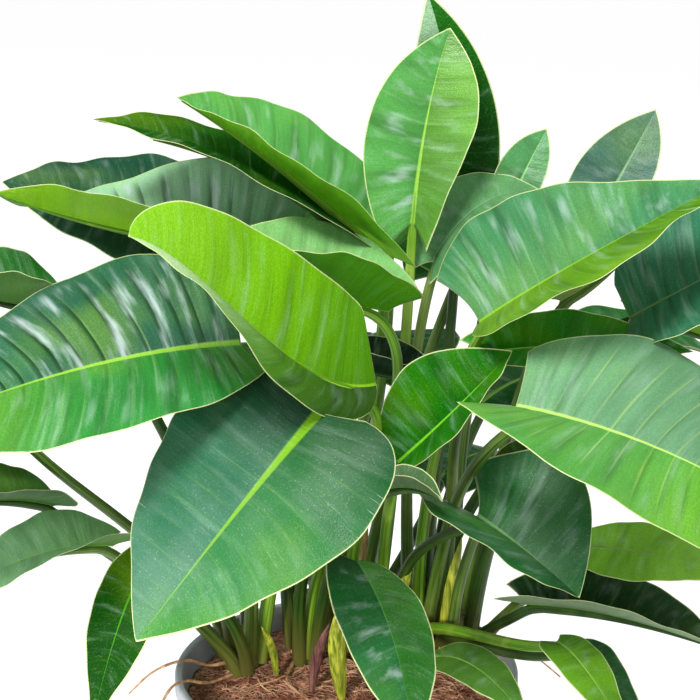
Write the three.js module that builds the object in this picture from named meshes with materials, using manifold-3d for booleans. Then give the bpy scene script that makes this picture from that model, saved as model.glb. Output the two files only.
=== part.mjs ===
// A potted green congo philodendron: a clump of leaves on long stalks in a round nursery pot.
// Millimetres, Z up, the origin in the middle of the pot's underside.
import * as THREE from 'three';
import { mergeVertices } from 'three/addons/utils/BufferGeometryUtils.js';
import Module from 'manifold-3d';

const wasm = await Module();
wasm.setup();

// Driving dimensions of the pot
const RIM_RADIUS = 150;
const POT_HEIGHT = 270;
const WALL = 2.6;
const FLOOR = 3;
const RIM_BAND = 16;
const RIM_STEP = 4.5;
const BASE_RADIUS = 106;
const ROUND_STEPS = 48;
const DRAIN_HOLES = 6;
const DRAIN_RADIUS = 6;
const DRAIN_CIRCLE = 68;

// Soil and stems
const SOIL_TOP = 250;
const SOIL_CROWN = 5;
const GAP = 0.35;
const STEM_RADIUS = 12;
const STEM_TAPER = 0.8;
const STEM_FOOT = SOIL_TOP - 45;
const STEM_SIDES = 16;

// Leaf blades: a lobed oval that narrows to a point, 1 along the midrib and 1 across each half
const BACK_LOBE = 0.12;
const SHOULDER = 0.13;
const FULLNESS = 0.8;
const FORWARD_SWEEP = 0.42;
const SWEEP_BEND = 1.5;
const BLADE_THICK = 1;
const KEEL_THICK = 3.2;
const ALONG = 8;
const ACROSS = 2;

// Stalks
const STALK_RADIUS = 4.3;
const STALK_SIDES = 6;
const STALK_STEPS = 9;
const STALK_JOIN = 0.07;

// Corners closer together than this are merged where solids have been joined
const FINEST = 0.05;

const UP = new THREE.Vector3(0, 0, 1);
const part = new THREE.Group();

// Colours and finishes, as the leaves show them
const FINISH = {
  lime: { color: 0x86c41e, roughness: 0.42 },
  fresh: { color: 0x5aa84e, roughness: 0.42 },
  mid: { color: 0x2f7d3c, roughness: 0.4 },
  deep: { color: 0x1d5a34, roughness: 0.45 },
  blue: { color: 0x24524a, roughness: 0.45 },
  grey: { color: 0x5f7f66, roughness: 0.5 },
  pale: { color: 0x93a95a, roughness: 0.5 },
  stem: { color: 0x5c6b2c, roughness: 0.6 },
  root: { color: 0xa67a55, roughness: 0.8 },
  dry: { color: 0xb99a5f, roughness: 0.8 },
  pot: { color: 0x8d9196, roughness: 0.55 },
  soil: { color: 0x5b3d2b, roughness: 0.95 },
};

function finish(key) {
  return new THREE.MeshStandardMaterial({ ...FINISH[key], metalness: 0, side: THREE.DoubleSide });
}

function add(name, geometry, key) {
  const mesh = new THREE.Mesh(geometry, finish(key));
  mesh.name = name;
  part.add(mesh);
  return mesh;
}

// A closed geometry as a solid: shared corners merged, and triangles of no area left out
function toSolid(geometry) {
  const bare = geometry.clone();
  bare.deleteAttribute('normal');
  bare.deleteAttribute('uv');
  const welded = mergeVertices(bare, 1e-3);
  const index = welded.index.array;
  const kept = [];
  for (let i = 0; i < index.length; i += 3) {
    const [a, b, c] = [index[i], index[i + 1], index[i + 2]];
    if (a !== b && b !== c && c !== a) kept.push(a, b, c);
  }
  const mesh = new wasm.Mesh({
    numProp: 3,
    vertProperties: new Float32Array(welded.attributes.position.array),
    triVerts: new Uint32Array(kept),
  });
  return new wasm.Manifold(mesh);
}

function toGeometry(solid) {
  const mesh = solid.getMesh();
  const geometry = new THREE.BufferGeometry();
  geometry.setAttribute('position', new THREE.BufferAttribute(mesh.vertProperties, 3));
  geometry.setIndex(new THREE.BufferAttribute(mesh.triVerts, 1));
  return geometry;
}

function tube(curve, radius, sides, steps) {
  const ring = new THREE.Shape();
  for (let i = 0; i < sides; i += 1) {
    const turn = (i / sides) * 2 * Math.PI;
    const x = radius * Math.cos(turn);
    const y = radius * Math.sin(turn);
    if (i === 0) ring.moveTo(x, y);
    else ring.lineTo(x, y);
  }
  ring.closePath();
  return new THREE.ExtrudeGeometry(ring, { steps, bevelEnabled: false, extrudePath: curve });
}

// The point at t on the smooth curve through evenly spaced points, straight on past its ends
function through(points, t) {
  const last = points.length - 1;
  const at = new THREE.Vector3();
  points.forEach((point, i) => {
    let weight = 1;
    for (let j = 0; j <= last; j += 1) {
      if (j !== i) weight *= (t * last - j) / (i - j);
    }
    at.addScaledVector(new THREE.Vector3(...point), weight);
  });
  return at;
}

function slope(points, t) {
  const near = 1e-3;
  const step = through(points, t + near).sub(through(points, t - near));
  return step.divideScalar(2 * near);
}

// Place, direction, right-hand side and upward normal of a leaf's midrib at t
function ribFrame(leaf, t) {
  const inside = THREE.MathUtils.clamp(t, 0, 1);
  const run = slope(leaf.rib, inside);
  const place = through(leaf.rib, inside).addScaledVector(run, Math.min(t, 0));
  const along = run.clone().normalize();
  const heading = new THREE.Vector3(...leaf.rib.at(-1)).sub(new THREE.Vector3(...leaf.rib[0]));
  heading.z = 0;
  if (leaf.heading !== undefined) {
    const turn = THREE.MathUtils.degToRad(leaf.heading);
    heading.set(Math.cos(turn), Math.sin(turn), 0);
  }
  const side = heading.normalize().cross(UP);
  side.addScaledVector(along, -side.dot(along)).normalize();
  const normal = side.clone().cross(along);
  return { place, along, side, normal };
}

// A setting of the half that v lies in: one number for both halves, or a pair for left and right
function perSide(leaf, key, standard, v) {
  const value = leaf[key] ?? standard;
  if (!Array.isArray(value)) return value;
  return value[v > 0 ? 1 : 0];
}

function halfWidth(leaf, t, v) {
  const shoulder = perSide(leaf, 'shoulder', SHOULDER, v);
  const full = perSide(leaf, 'full', FULLNESS, v);
  const arch = Math.max(0, Math.sin(Math.PI * (shoulder + (1 - shoulder) * t ** full)));
  return (leaf.width / 2) * perSide(leaf, 'wide', 1, v) * arch ** perSide(leaf, 'blunt', 1, v);
}

// The lift in degrees along one half, from the stalk to the tip, by way of a middle value if there is one
function liftAt(turns, t) {
  const first = turns[0];
  const last = turns.at(-1);
  const middle = turns.length === 3 ? turns[1] : (first + last) / 2;
  return first * (1 - t) * (1 - 2 * t) + middle * 4 * t * (1 - t) + last * t * (2 * t - 1);
}

// A point of the blade: t from the stalk to the tip, v from -1 at the left margin to 1 at the right,
// depth below the upper face. Each half is lifted from level and bends evenly towards its margin.
function bladePoint(leaf, t, v, depth) {
  const lobe = perSide(leaf, 'lobe', BACK_LOBE, v);
  const reach = t + (1 - t) * (FORWARD_SWEEP * t - lobe) * Math.abs(v) ** SWEEP_BEND;
  const { place, side, normal } = ribFrame(leaf, reach);
  const lift = THREE.MathUtils.degToRad(liftAt(v > 0 ? leaf.right : leaf.left, t));
  const curl = THREE.MathUtils.degToRad(perSide(leaf, 'curl', 0, v) || 0.01);
  const turned = lift + curl * Math.abs(v);
  const half = halfWidth(leaf, t, v);
  const out = (half * (Math.sin(turned) - Math.sin(lift))) / curl;
  const rise = (half * (Math.cos(lift) - Math.cos(turned))) / curl;
  return place.addScaledVector(side, out * Math.sign(v)).addScaledVector(normal, rise - depth);
}

// Thickness of the blade: nothing at the margins, a keel under the midrib
function thickness(t, v) {
  const ends = Math.min(1, t / STALK_JOIN, (1 - t) / STALK_JOIN);
  const keel = v === 0 ? KEEL_THICK * (1 - t) : 0;
  return ends * (BLADE_THICK * (1 - v * v) + keel);
}

// The blade as one closed skin: each cell of its grid is two triangles above and the same two below
function blade(leaf) {
  const wide = 2 * ACROSS;
  const corners = [];
  for (let i = 0; i <= ALONG; i += 1) {
    for (let j = 0; j <= wide; j += 1) {
      const t = i / ALONG;
      const v = j / ACROSS - 1;
      corners.push(bladePoint(leaf, t, v, 0), bladePoint(leaf, t, v, thickness(t, v)));
    }
  }
  const index = [];
  for (let i = 0; i < ALONG; i += 1) {
    for (let j = 0; j < wide; j += 1) {
      const near = 2 * (i * (wide + 1) + j);
      const far = near + 2 * (wide + 1);
      const cell = j < ACROSS
        ? [near, near + 2, far, near + 2, far + 2, far]
        : [near, near + 2, far + 2, near, far + 2, far];
      index.push(...cell, ...cell.map((corner) => corner + 1).reverse());
    }
  }
  return new THREE.BufferGeometry().setFromPoints(corners).setIndex(index);
}

function stemRadius(stem, z) {
  const climb = (z - STEM_FOOT) / (stem.top - STEM_FOOT);
  return STEM_RADIUS * (1 - (1 - STEM_TAPER) * climb);
}

// The stalk rises beside its stem and comes to the blade from below
function stalk(leaf) {
  const stem = STEMS[leaf.stem];
  const radius = leaf.stalk ?? STALK_RADIUS;
  const turn = THREE.MathUtils.degToRad(leaf.at);
  const out = new THREE.Vector3(Math.cos(turn), Math.sin(turn), 0);
  const start = new THREE.Vector3(stem.x, stem.y, leaf.from);
  const beside = (0.93 * radius) / Math.hypot(1, leaf.lean);
  start.addScaledVector(out, stemRadius(stem, leaf.from) + beside + GAP);
  const frame = ribFrame(leaf, STALK_JOIN);
  const end = frame.place.addScaledVector(frame.normal, -KEEL_THICK / 3);
  const span = start.distanceTo(end);
  const rising = UP.clone().addScaledVector(out, leaf.lean).normalize();
  const arriving = frame.along.clone().addScaledVector(UP, leaf.drop ?? 0.8).normalize();
  const curve = new THREE.CubicBezierCurve3(
    start,
    start.clone().addScaledVector(rising, span * 0.4),
    end.clone().addScaledVector(arriving, -span * 0.25),
    end,
  );
  return tube(curve, radius, STALK_SIDES, STALK_STEPS);
}

// Stems: short upright crowns set in the soil
const STEMS = {
  left: { x: -88, y: 40, top: 292 },
  mid_left: { x: -38, y: 58, top: 318 },
  centre: { x: 12, y: 70, top: 326 },
  mid_right: { x: 62, y: 82, top: 318 },
  right: { x: 98, y: 62, top: 296 },
  rear: { x: 0, y: 114, top: 300 },
};

// Leaves. Each midrib runs through evenly spaced points from the stalk to the tip. left and right are
// the lifts of the two halves in degrees, at the stalk and at the tip.
const LEAVES = [
  { name: 'leaf_young_lime', key: 'lime', stem: 'mid_left', at: -75, from: 284, lean: 0.15,
    rib: [[24, -108, 573], [-42, -140, 606], [-106, -165, 674], [-163, -180, 716]], width: 150,
    left: [-42, -10, -4], right: [76, 58, 44], lobe: [-0.05, 0], shoulder: [0.13, 0.2],
    full: [0.8, 0.85], wide: [0.74, 0.98], blunt: [1, 0.6] },
  { name: 'leaf_left_middle', key: 'fresh', stem: 'centre', at: -130, from: 284, lean: 0.15,
    rib: [[35, -28, 608], [-38, -34, 631], [-112, -45, 673]], width: 164,
    left: [44, 36], right: [30, 46], lobe: 0.16, wide: [1, 0.94] },
  { name: 'leaf_upper_left', key: 'fresh', stem: 'centre', at: 180, from: 284, lean: 0.15,
    rib: [[38, 60, 628], [-59, 50, 714], [-140, 40, 771]], width: 180,
    left: [22, 15], right: [28, 25], curl: [0, -10], lobe: [0.05, 0.08], shoulder: [0.15, 0.27],
    full: [0.8, 0.78], wide: [0.72, 1.06] },
  { name: 'leaf_upper_left_dark', key: 'deep', stem: 'mid_left', at: 60, from: 284, lean: 0.15,
    rib: [[-1, 60, 656], [-110, 55, 722], [-212, 50, 750]], width: 140,
    left: [10, 10], right: [8, 5], curl: [-5, -5] },
  { name: 'leaf_upper_left_small', key: 'pale', stem: 'mid_left', at: 105, from: 284, lean: 0.15,
    rib: [[-45, 140, 668], [-110, 140, 696], [-172, 140, 711]], width: 60,
    left: [30, 30], right: [10, 10] },
  { name: 'leaf_left_shaded', key: 'blue', stem: 'mid_left', at: 150, from: 284, lean: 0.15,
    rib: [[-78, 142, 645], [-187, 132, 661], [-300, 122, 677]], width: 226,
    left: [-15, -15], right: [8, 12], curl: [-10, -10], wide: [0.9, 1] },
  { name: 'leaf_left_arching', key: 'fresh', stem: 'left', at: -20, from: 284, lean: 0.15,
    rib: [[-52, 77, 633], [-174, 52, 652], [-293, 32, 692]], width: 180,
    left: [4, 55], right: [70, -25], curl: [0, -10] },
  { name: 'leaf_left_broad', key: 'mid', stem: 'left', at: -80, from: 284, lean: 0.15,
    rib: [[-84, -80, 598], [-228, -120, 585], [-390, -150, 529]], width: 210,
    left: [-10, -10], right: [34, 8], curl: [-8, -8], lobe: [0.04, 0.02], full: [0.8, 0.6],
    wide: [0.92, 1.12] },
  { name: 'leaf_front_broad', key: 'deep', stem: 'mid_left', at: -106, drop: 1.1, from: 264, lean: 0.3,
    rib: [[-21, -165, 570], [-80, -217, 513], [-160, -250, 415]], width: 220,
    left: [-15, -15], right: [18, 15], curl: [-5, -5], lobe: [0.05, 0.24], shoulder: [0.12, 0.25],
    full: [0.64, 1.2], wide: [0.93, 1], blunt: [1, 0.85] },
  { name: 'leaf_left_outer', key: 'deep', stem: 'left', at: 195, from: 284, lean: 0.15,
    rib: [[-234, 40, 593], [-292, 25, 600], [-360, 15, 632]], width: 144,
    left: [36, 36], right: [36, 36], lobe: [0, -0.06], wide: [1, 0.82] },
  { name: 'leaf_left_low_far', key: 'deep', stem: 'left', at: 168, from: 258, lean: 0.8,
    rib: [[-256, 30, 412], [-298, 10, 425], [-367, -10, 424]], width: 110,
    left: [30, 30], right: [14, 14] },
  { name: 'leaf_left_low', key: 'mid', stem: 'left', at: 237, from: 258, lean: 0.8,
    rib: [[-195, -60, 413], [-253, -80, 414], [-326, -100, 387]], width: 116,
    left: [40, -12], right: [10, 10] },
  { name: 'leaf_left_hanging', key: 'deep', stem: 'left', at: 270, from: 258, lean: 0.8,
    rib: [[-160, -110, 426], [-184, -140, 377], [-206, -160, 298]], width: 72,
    left: [0, 0], right: [0, 0] },
  { name: 'leaf_front_hanging', key: 'mid', stem: 'centre', at: -90, from: 264, lean: 0.3,
    rib: [[9, -170, 448], [37, -215, 400], [52, -240, 322]], width: 84,
    left: [0, 0], right: [0, 0], lobe: [-0.06, 0.12], wide: [0.85, 1] },
  { name: 'leaf_top_upright', key: 'fresh', stem: 'centre', at: 20, heading: 90, from: 284, lean: 0.15,
    rib: [[56, 60, 656], [68, 85, 741], [88, 110, 815]], width: 104,
    left: [15, 10], right: [45, 10], full: [0.85, 1.1], wide: [0.97, 0.9] },
  { name: 'leaf_top_behind', key: 'deep', stem: 'mid_right', at: 60, heading: 90, from: 284, lean: 0.15,
    rib: [[97, 110, 650], [91, 125, 749], [69, 130, 841]], width: 76,
    left: [10, 10], right: [10, 10] },
  { name: 'leaf_top_small', key: 'mid', stem: 'right', at: 95, heading: 90, from: 284, lean: 0.15,
    rib: [[136, 90, 656], [156, 105, 696], [173, 120, 725]], width: 47,
    left: [10, 10], right: [10, 10], wide: [1, 0.8] },
  { name: 'leaf_top_grey', key: 'grey', stem: 'mid_right', at: 110, from: 284, lean: 0.15,
    rib: [[73, 60, 623], [112, 70, 670], [165, 80, 681]], width: 85,
    left: [35, 20], right: [0, 0] },
  { name: 'leaf_top_right', key: 'grey', stem: 'right', at: 50, heading: 90, from: 284, lean: 0.15,
    rib: [[216, 110, 646], [246, 130, 695], [270, 150, 735]], width: 78,
    left: [10, 10], right: [10, 10], full: [0.6, 0.8], wide: [1, 0.7] },
  { name: 'leaf_right_large', key: 'fresh', stem: 'mid_right', at: -87, from: 284, lean: 0.15,
    rib: [[108, -40, 602], [184, -60, 659], [304, -60, 727]], width: 200,
    left: [36, 36], right: [4, 1], lobe: [0.22, -0.03], shoulder: [0.22, 0.1], wide: [1, 0.9] },
  { name: 'leaf_right_under', key: 'mid', stem: 'mid_right', at: -20, from: 264, lean: 0.3,
    rib: [[110, -39, 576], [194, -56, 588], [282, -62, 584]], width: 98,
    left: [20, 14], right: [0, 0] },
  { name: 'leaf_right_ribbed', key: 'mid', stem: 'mid_right', at: -60, stalk: 4.5, from: 264, lean: 0.3,
    rib: [[132, -150, 570], [256, -210, 549], [379, -250, 483]], width: 225,
    left: [36, -10], right: [18, -45], curl: [-8, -8], lobe: [0.04, 0.12], wide: [1, 0.78],
    blunt: [0.8, 1] },
  { name: 'leaf_right_shaded', key: 'blue', stem: 'mid_right', at: 3, from: 284, lean: 0.15,
    rib: [[233, -20, 599], [296, -30, 639], [390, -40, 693]], width: 188,
    left: [38, 30], right: [-5, -5], lobe: 0.02 },
  { name: 'leaf_right_narrow', key: 'deep', stem: 'right', at: -20, from: 284, lean: 0.15,
    rib: [[239, 25, 590], [290, 20, 575], [374, 10, 547]], width: 80,
    left: [10, 10], right: [45, 45] },
  { name: 'leaf_right_inner', key: 'pale', stem: 'right', at: 15, from: 284, lean: 0.15,
    rib: [[183, 60, 589], [217, 60, 611], [249, 60, 642]], width: 80,
    left: [20, 20], right: [40, 40] },
  { name: 'leaf_centre_bright', key: 'fresh', stem: 'centre', at: -50, from: 264, lean: 0.3,
    rib: [[42, -85, 497], [88, -92, 546], [133, -88, 594]], width: 108,
    left: [62, 62], right: [0, 0], lobe: 0.1, shoulder: 0.08 },
  { name: 'leaf_front_right', key: 'deep', stem: 'mid_right', at: -130, from: 264, lean: 0.3,
    rib: [[106, -100, 457], [146, -140, 441], [185, -170, 415]], width: 161,
    left: [40, 40], right: [25, 22], lobe: 0.3 },
  { name: 'leaf_right_beneath', key: 'pale', stem: 'right', at: -100, from: 258, lean: 0.8,
    rib: [[130, -20, 455], [176, -20, 464], [223, -20, 446]], width: 90,
    left: [20, 20], right: [40, 40] },
  { name: 'leaf_right_low_pale', key: 'pale', stem: 'right', at: -6, from: 258, lean: 0.8,
    rib: [[203, -20, 396], [256, -40, 397], [326, -60, 386]], width: 86,
    left: [10, 10], right: [-12, -12] },
  { name: 'leaf_right_low_dark', key: 'deep', stem: 'right', at: -65, from: 258, lean: 0.8,
    rib: [[148, -60, 360], [228, -85, 359], [321, -110, 336]], width: 110,
    left: [22, 15], right: [32, 32] },
  { name: 'leaf_right_low_bright', key: 'fresh', stem: 'mid_right', at: -95, from: 258, lean: 0.8,
    rib: [[171, -130, 359], [195, -160, 345], [229, -190, 295]], width: 50,
    left: [0, 0], right: [0, 0] },
  { name: 'leaf_right_low_small', key: 'deep', stem: 'right', at: -135, from: 258, lean: 0.8,
    rib: [[180, -90, 331], [210, -110, 320], [248, -140, 269]], width: 66,
    left: [0, 0], right: [0, 0] },
  { name: 'leaf_front_small', key: 'fresh', stem: 'centre', at: -15, from: 264, lean: 0.3,
    rib: [[71, -100, 330], [108, -120, 329], [149, -160, 298]], width: 60,
    left: [0, 0], right: [0, 0] },
  { name: 'leaf_centre_dark', key: 'blue', stem: 'mid_left', at: -15, from: 284, lean: 0.15,
    rib: [[5, 22, 550], [45, 20, 536], [95, 18, 531]], width: 76,
    left: [30, 30], right: [35, 35] },
  { name: 'leaf_centre_curled', key: 'deep', stem: 'mid_left', at: -55, from: 264, lean: 0.3,
    rib: [[21, -150, 496], [49, -158, 505], [76, -165, 495]], width: 45,
    left: [30, 30], right: [45, 45] },
  { name: 'leaf_rear_left_high', key: 'mid', stem: 'rear', at: 165, from: 284, lean: 0.15,
    rib: [[-85, 185, 560], [-150, 245, 590], [-215, 305, 575]], width: 170,
    left: [15, 10], right: [15, 10], curl: [-8, -8] },
  { name: 'leaf_rear_left_low', key: 'deep', stem: 'left', at: 95, from: 258, lean: 0.8,
    rib: [[-95, 140, 470], [-160, 200, 480], [-235, 255, 430]], width: 160,
    left: [10, 5], right: [10, 5], curl: [-8, -8] },
  { name: 'leaf_rear_far_left', key: 'mid', stem: 'left', at: 132, from: 258, lean: 0.8,
    rib: [[-285, 60, 470], [-340, 80, 475], [-410, 100, 440]], width: 120,
    left: [15, 5], right: [15, 5] },
  { name: 'leaf_rear_high', key: 'fresh', stem: 'rear', at: 60, from: 284, lean: 0.15,
    rib: [[40, 150, 600], [25, 220, 645], [5, 300, 645]], width: 170,
    left: [20, 10], right: [20, 10], curl: [-8, -8] },
  { name: 'leaf_rear_middle', key: 'deep', stem: 'rear', at: 85, from: 258, lean: 0.8,
    rib: [[22, 162, 480], [24, 240, 498], [30, 330, 450]], width: 165,
    left: [10, 5], right: [10, 5], curl: [-10, -10] },
  { name: 'leaf_rear_right_high', key: 'mid', stem: 'rear', at: -10, from: 284, lean: 0.15,
    rib: [[95, 130, 590], [155, 200, 622], [225, 270, 625]], width: 160,
    left: [15, 10], right: [15, 10], curl: [-8, -8] },
  { name: 'leaf_rear_right_low', key: 'deep', stem: 'right', at: 118, from: 258, lean: 0.8,
    rib: [[121, 140, 466], [196, 200, 476], [286, 250, 436]], width: 161,
    left: [10, 5], right: [10, 5], curl: [-8, -8] },
  { name: 'leaf_rear_far_right', key: 'mid', stem: 'right', at: 68, from: 258, lean: 0.8,
    rib: [[190, 90, 515], [265, 115, 535], [350, 145, 500]], width: 130,
    left: [15, 5], right: [15, 5] },
  { name: 'leaf_rear_low_left', key: 'mid', stem: 'rear', at: 150, from: 258, lean: 0.8,
    rib: [[-55, 165, 375], [-90, 230, 380], [-125, 300, 330]], width: 120,
    left: [5, 0], right: [5, 0], curl: [-8, -8] },
  { name: 'leaf_rear_low_right', key: 'deep', stem: 'rear', at: 20, from: 258, lean: 0.8,
    rib: [[85, 160, 385], [135, 215, 390], [190, 280, 340]], width: 120,
    left: [5, 0], right: [5, 0], curl: [-8, -8] },
];

// Aerial roots: from a stem over the soil, two of them on over the rim
const ROOTS = [
  { name: 'root_left_over_rim', radius: 1.6,
    path: [[-98, 33, 262], [-120, 22, 262], [-139, 12, 271.5], [-155, 4, 272], [-172, -4, 266],
      [-190, -14, 252]] },
  { name: 'root_left_drooping', radius: 1.5,
    path: [[-95, 30, 252.4], [-120, -2, 257], [-139, -28, 271.3], [-153, -46, 270], [-168, -66, 240],
      [-178, -78, 200]] },
  { name: 'root_front_on_soil', radius: 1.7,
    path: [[-46.5, 48.3, 255], [-52, 8, 254.3], [-40, -20, 254.7], [-24, -44, 254.4], [-6, -72, 253.3],
      [2, -96, 252.2]] },
  { name: 'root_right_over_rim', radius: 1.5,
    path: [[108, 54.8, 258], [122, 52, 266], [136, 48, 272.1], [152, 43, 272.3], [170, 36, 262],
      [190, 27, 248]] },
];

// Dry sheaths: papery strips left standing on the stems' tips
const SHEATHS = [
  { name: 'dry_sheath_front', key: 'dry', width: 14, left: [40, 10], right: [40, 10], heading: -90,
    lobe: 0, rib: [[12, 66, 326.6], [13, 58, 372], [14, 48, 418]] },
  { name: 'dry_sheath_right', key: 'dry', width: 12, left: [40, 10], right: [40, 10], heading: -90,
    lobe: 0, rib: [[62, 76, 318.6], [70, 62, 385], [78, 45, 455]] },
];

function potRadius(z) {
  return BASE_RADIUS + ((RIM_RADIUS - RIM_STEP - BASE_RADIUS) * z) / POT_HEIGHT;
}

function makePot() {
  const bandFoot = POT_HEIGHT - RIM_BAND;
  const profile = [
    [0, 0],
    [BASE_RADIUS - 4, 0],
    [BASE_RADIUS, 4],
    [potRadius(bandFoot), bandFoot],
    [RIM_RADIUS, bandFoot + 2],
    [RIM_RADIUS, POT_HEIGHT - 3],
    [RIM_RADIUS - 2, POT_HEIGHT],
    [potRadius(POT_HEIGHT) - WALL + 1, POT_HEIGHT],
    [potRadius(POT_HEIGHT - 4) - WALL, POT_HEIGHT - 4],
    [potRadius(FLOOR) - WALL, FLOOR],
    [0, FLOOR],
  ];
  const points = profile.map(([x, y]) => new THREE.Vector2(x, y));
  const shell = new THREE.LatheGeometry(points, ROUND_STEPS).rotateX(Math.PI / 2);
  let pot = toSolid(shell);
  for (let i = 0; i < DRAIN_HOLES; i += 1) {
    const turn = (i / DRAIN_HOLES) * 2 * Math.PI;
    const hole = new THREE.CylinderGeometry(DRAIN_RADIUS, DRAIN_RADIUS, FLOOR * 4, 12);
    hole.rotateX(Math.PI / 2);
    hole.translate(DRAIN_CIRCLE * Math.cos(turn), DRAIN_CIRCLE * Math.sin(turn), FLOOR / 2);
    pot = pot.subtract(toSolid(hole));
  }
  return toGeometry(pot);
}

function stemCylinder(stem, extra) {
  const height = stem.top - STEM_FOOT;
  const top = STEM_RADIUS * STEM_TAPER + extra;
  const geometry = new THREE.CylinderGeometry(top, STEM_RADIUS + extra, height, STEM_SIDES);
  geometry.rotateX(Math.PI / 2);
  geometry.translate(stem.x, stem.y, (stem.top + STEM_FOOT) / 2 - extra);
  return geometry;
}

function makeSoil() {
  const low = FLOOR + GAP;
  const edge = (z) => potRadius(z) - WALL - GAP;
  const profile = [
    [0, low],
    [edge(low), low],
    [edge(SOIL_TOP - 3), SOIL_TOP - 3],
    [edge(SOIL_TOP) * 0.7, SOIL_TOP],
    [0, SOIL_TOP + SOIL_CROWN],
  ];
  const points = profile.map(([x, y]) => new THREE.Vector2(x, y));
  let soil = toSolid(new THREE.LatheGeometry(points, ROUND_STEPS).rotateX(Math.PI / 2));
  Object.values(STEMS).forEach((stem) => {
    soil = soil.subtract(toSolid(stemCylinder(stem, GAP)));
  });
  return toGeometry(soil.simplify(FINEST));
}

add('pot', makePot(), 'pot');
add('soil', makeSoil(), 'soil');
Object.entries(STEMS).forEach(([name, stem]) => {
  add(`stem_${name}`, stemCylinder(stem, 0), 'stem');
});
LEAVES.forEach((leaf) => {
  const whole = toSolid(blade(leaf)).add(toSolid(stalk(leaf)));
  add(leaf.name, toGeometry(whole.simplify(FINEST)), leaf.key);
});
ROOTS.forEach((root) => {
  const curve = new THREE.CatmullRomCurve3(root.path.map((point) => new THREE.Vector3(...point)));
  add(root.name, tube(curve, root.radius, 5, 12), 'root');
});
SHEATHS.forEach((sheath) => {
  add(sheath.name, toGeometry(toSolid(blade(sheath))), sheath.key);
});

export default part;
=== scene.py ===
# %% [markdown]
# # A potted green congo philodendron
# A clump of big pointed leaves on long round stalks, in a plain grey nursery pot. The frame holds each
# leaf, stem, root and sheath as a simple closed solid at its real size. Here each of them gets its fine
# surface: veins, midrib, pale margin, wax gloss and dust. Sizes in the tables are millimetres, and MM turns
# them into Blender's metres.

# %% Load the frame
import math
from types import SimpleNamespace

import bmesh
import bpy
import numpy as np
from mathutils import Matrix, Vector, noise


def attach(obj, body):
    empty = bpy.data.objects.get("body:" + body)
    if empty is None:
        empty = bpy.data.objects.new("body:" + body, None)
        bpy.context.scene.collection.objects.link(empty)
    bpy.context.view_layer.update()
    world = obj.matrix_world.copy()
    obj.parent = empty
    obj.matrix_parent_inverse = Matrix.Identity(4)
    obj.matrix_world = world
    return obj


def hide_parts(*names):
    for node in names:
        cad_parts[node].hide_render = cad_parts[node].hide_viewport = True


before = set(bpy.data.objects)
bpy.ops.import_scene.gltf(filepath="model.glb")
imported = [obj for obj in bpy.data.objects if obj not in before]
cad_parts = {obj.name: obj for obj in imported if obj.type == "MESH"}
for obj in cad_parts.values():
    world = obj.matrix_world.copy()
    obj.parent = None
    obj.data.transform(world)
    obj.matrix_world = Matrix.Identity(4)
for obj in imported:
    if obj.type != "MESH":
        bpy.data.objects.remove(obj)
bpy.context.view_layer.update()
MM = 0.001

# %% [markdown]
# ## Camera
# The photograph looks down on the plant a little, from about two metres away, and crops the pot. The rim of
# the pot is a circle in the real world and an ellipse in the photograph, and its shape gives the pitch and
# the distance. A long lens keeps the leaves from spreading apart in perspective.

# %% Camera
CAMERA_PLACE = (3.1, -1973.97, 1241.31)
CAMERA_PITCH = 18.93
CAMERA_LENS = 128.23

camera = bpy.data.objects.new("camera", bpy.data.cameras.new("camera"))
camera.data.lens = CAMERA_LENS
camera.data.sensor_width = 36
camera.location = Vector(CAMERA_PLACE) * MM
camera.rotation_euler = (math.radians(90 - CAMERA_PITCH), 0, 0)
bpy.context.collection.objects.link(camera)
bpy.context.scene.camera = camera
print("camera at", list(camera.location))

# %% [markdown]
# ## Floor and light
# The plant stands in a white studio. A pale floor reaches out of sight on all sides, the world is an even
# white, and large soft lamps light the wax of the leaves: one above and in front, one at the left, a weak
# one low in front, and a warmer one behind, which shines through the thin young leaves. A narrow spot
# reaches the soil under them. The world and the last three lamps stay out of reflections, or the leaves
# that are seen edge-on would look grey. The few helpers for colours and nodes come first, because
# everything here uses them.

# %% Colours and nodes
def colour(code):
    """A colour from its six hex digits, as the linear values that a shader wants."""
    parts = [int(code[i:i + 2], 16) / 255 for i in (0, 2, 4)]
    linear = [p / 12.92 if p <= 0.04045 else ((p + 0.055) / 1.055) ** 2.4 for p in parts]
    return (*linear, 1)


def node(tree, kind, inputs=None, **settings):
    """Adds a node to a tree. inputs maps a socket's name or number to a value or another node's output."""
    made = tree.nodes.new(kind)
    for key, value in settings.items():
        setattr(made, key, value)
    for key, value in (inputs or {}).items():
        if isinstance(value, bpy.types.NodeSocket):
            tree.links.new(value, made.inputs[key])
        else:
            made.inputs[key].default_value = value
    return made


def maths(tree, operation, first, second=0.0):
    return node(tree, "ShaderNodeMath", {0: first, 1: second}, operation=operation).outputs[0]


def new_material(name):
    material = bpy.data.materials.new(name)
    material.use_nodes = True
    material.node_tree.nodes.clear()
    return material


# %% Floor and world
FLOOR_HALF = 60
FLOOR_GREY = 0.22
FLOOR_GLOW = 0.86
SKY_LIGHT = 0.5

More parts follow.
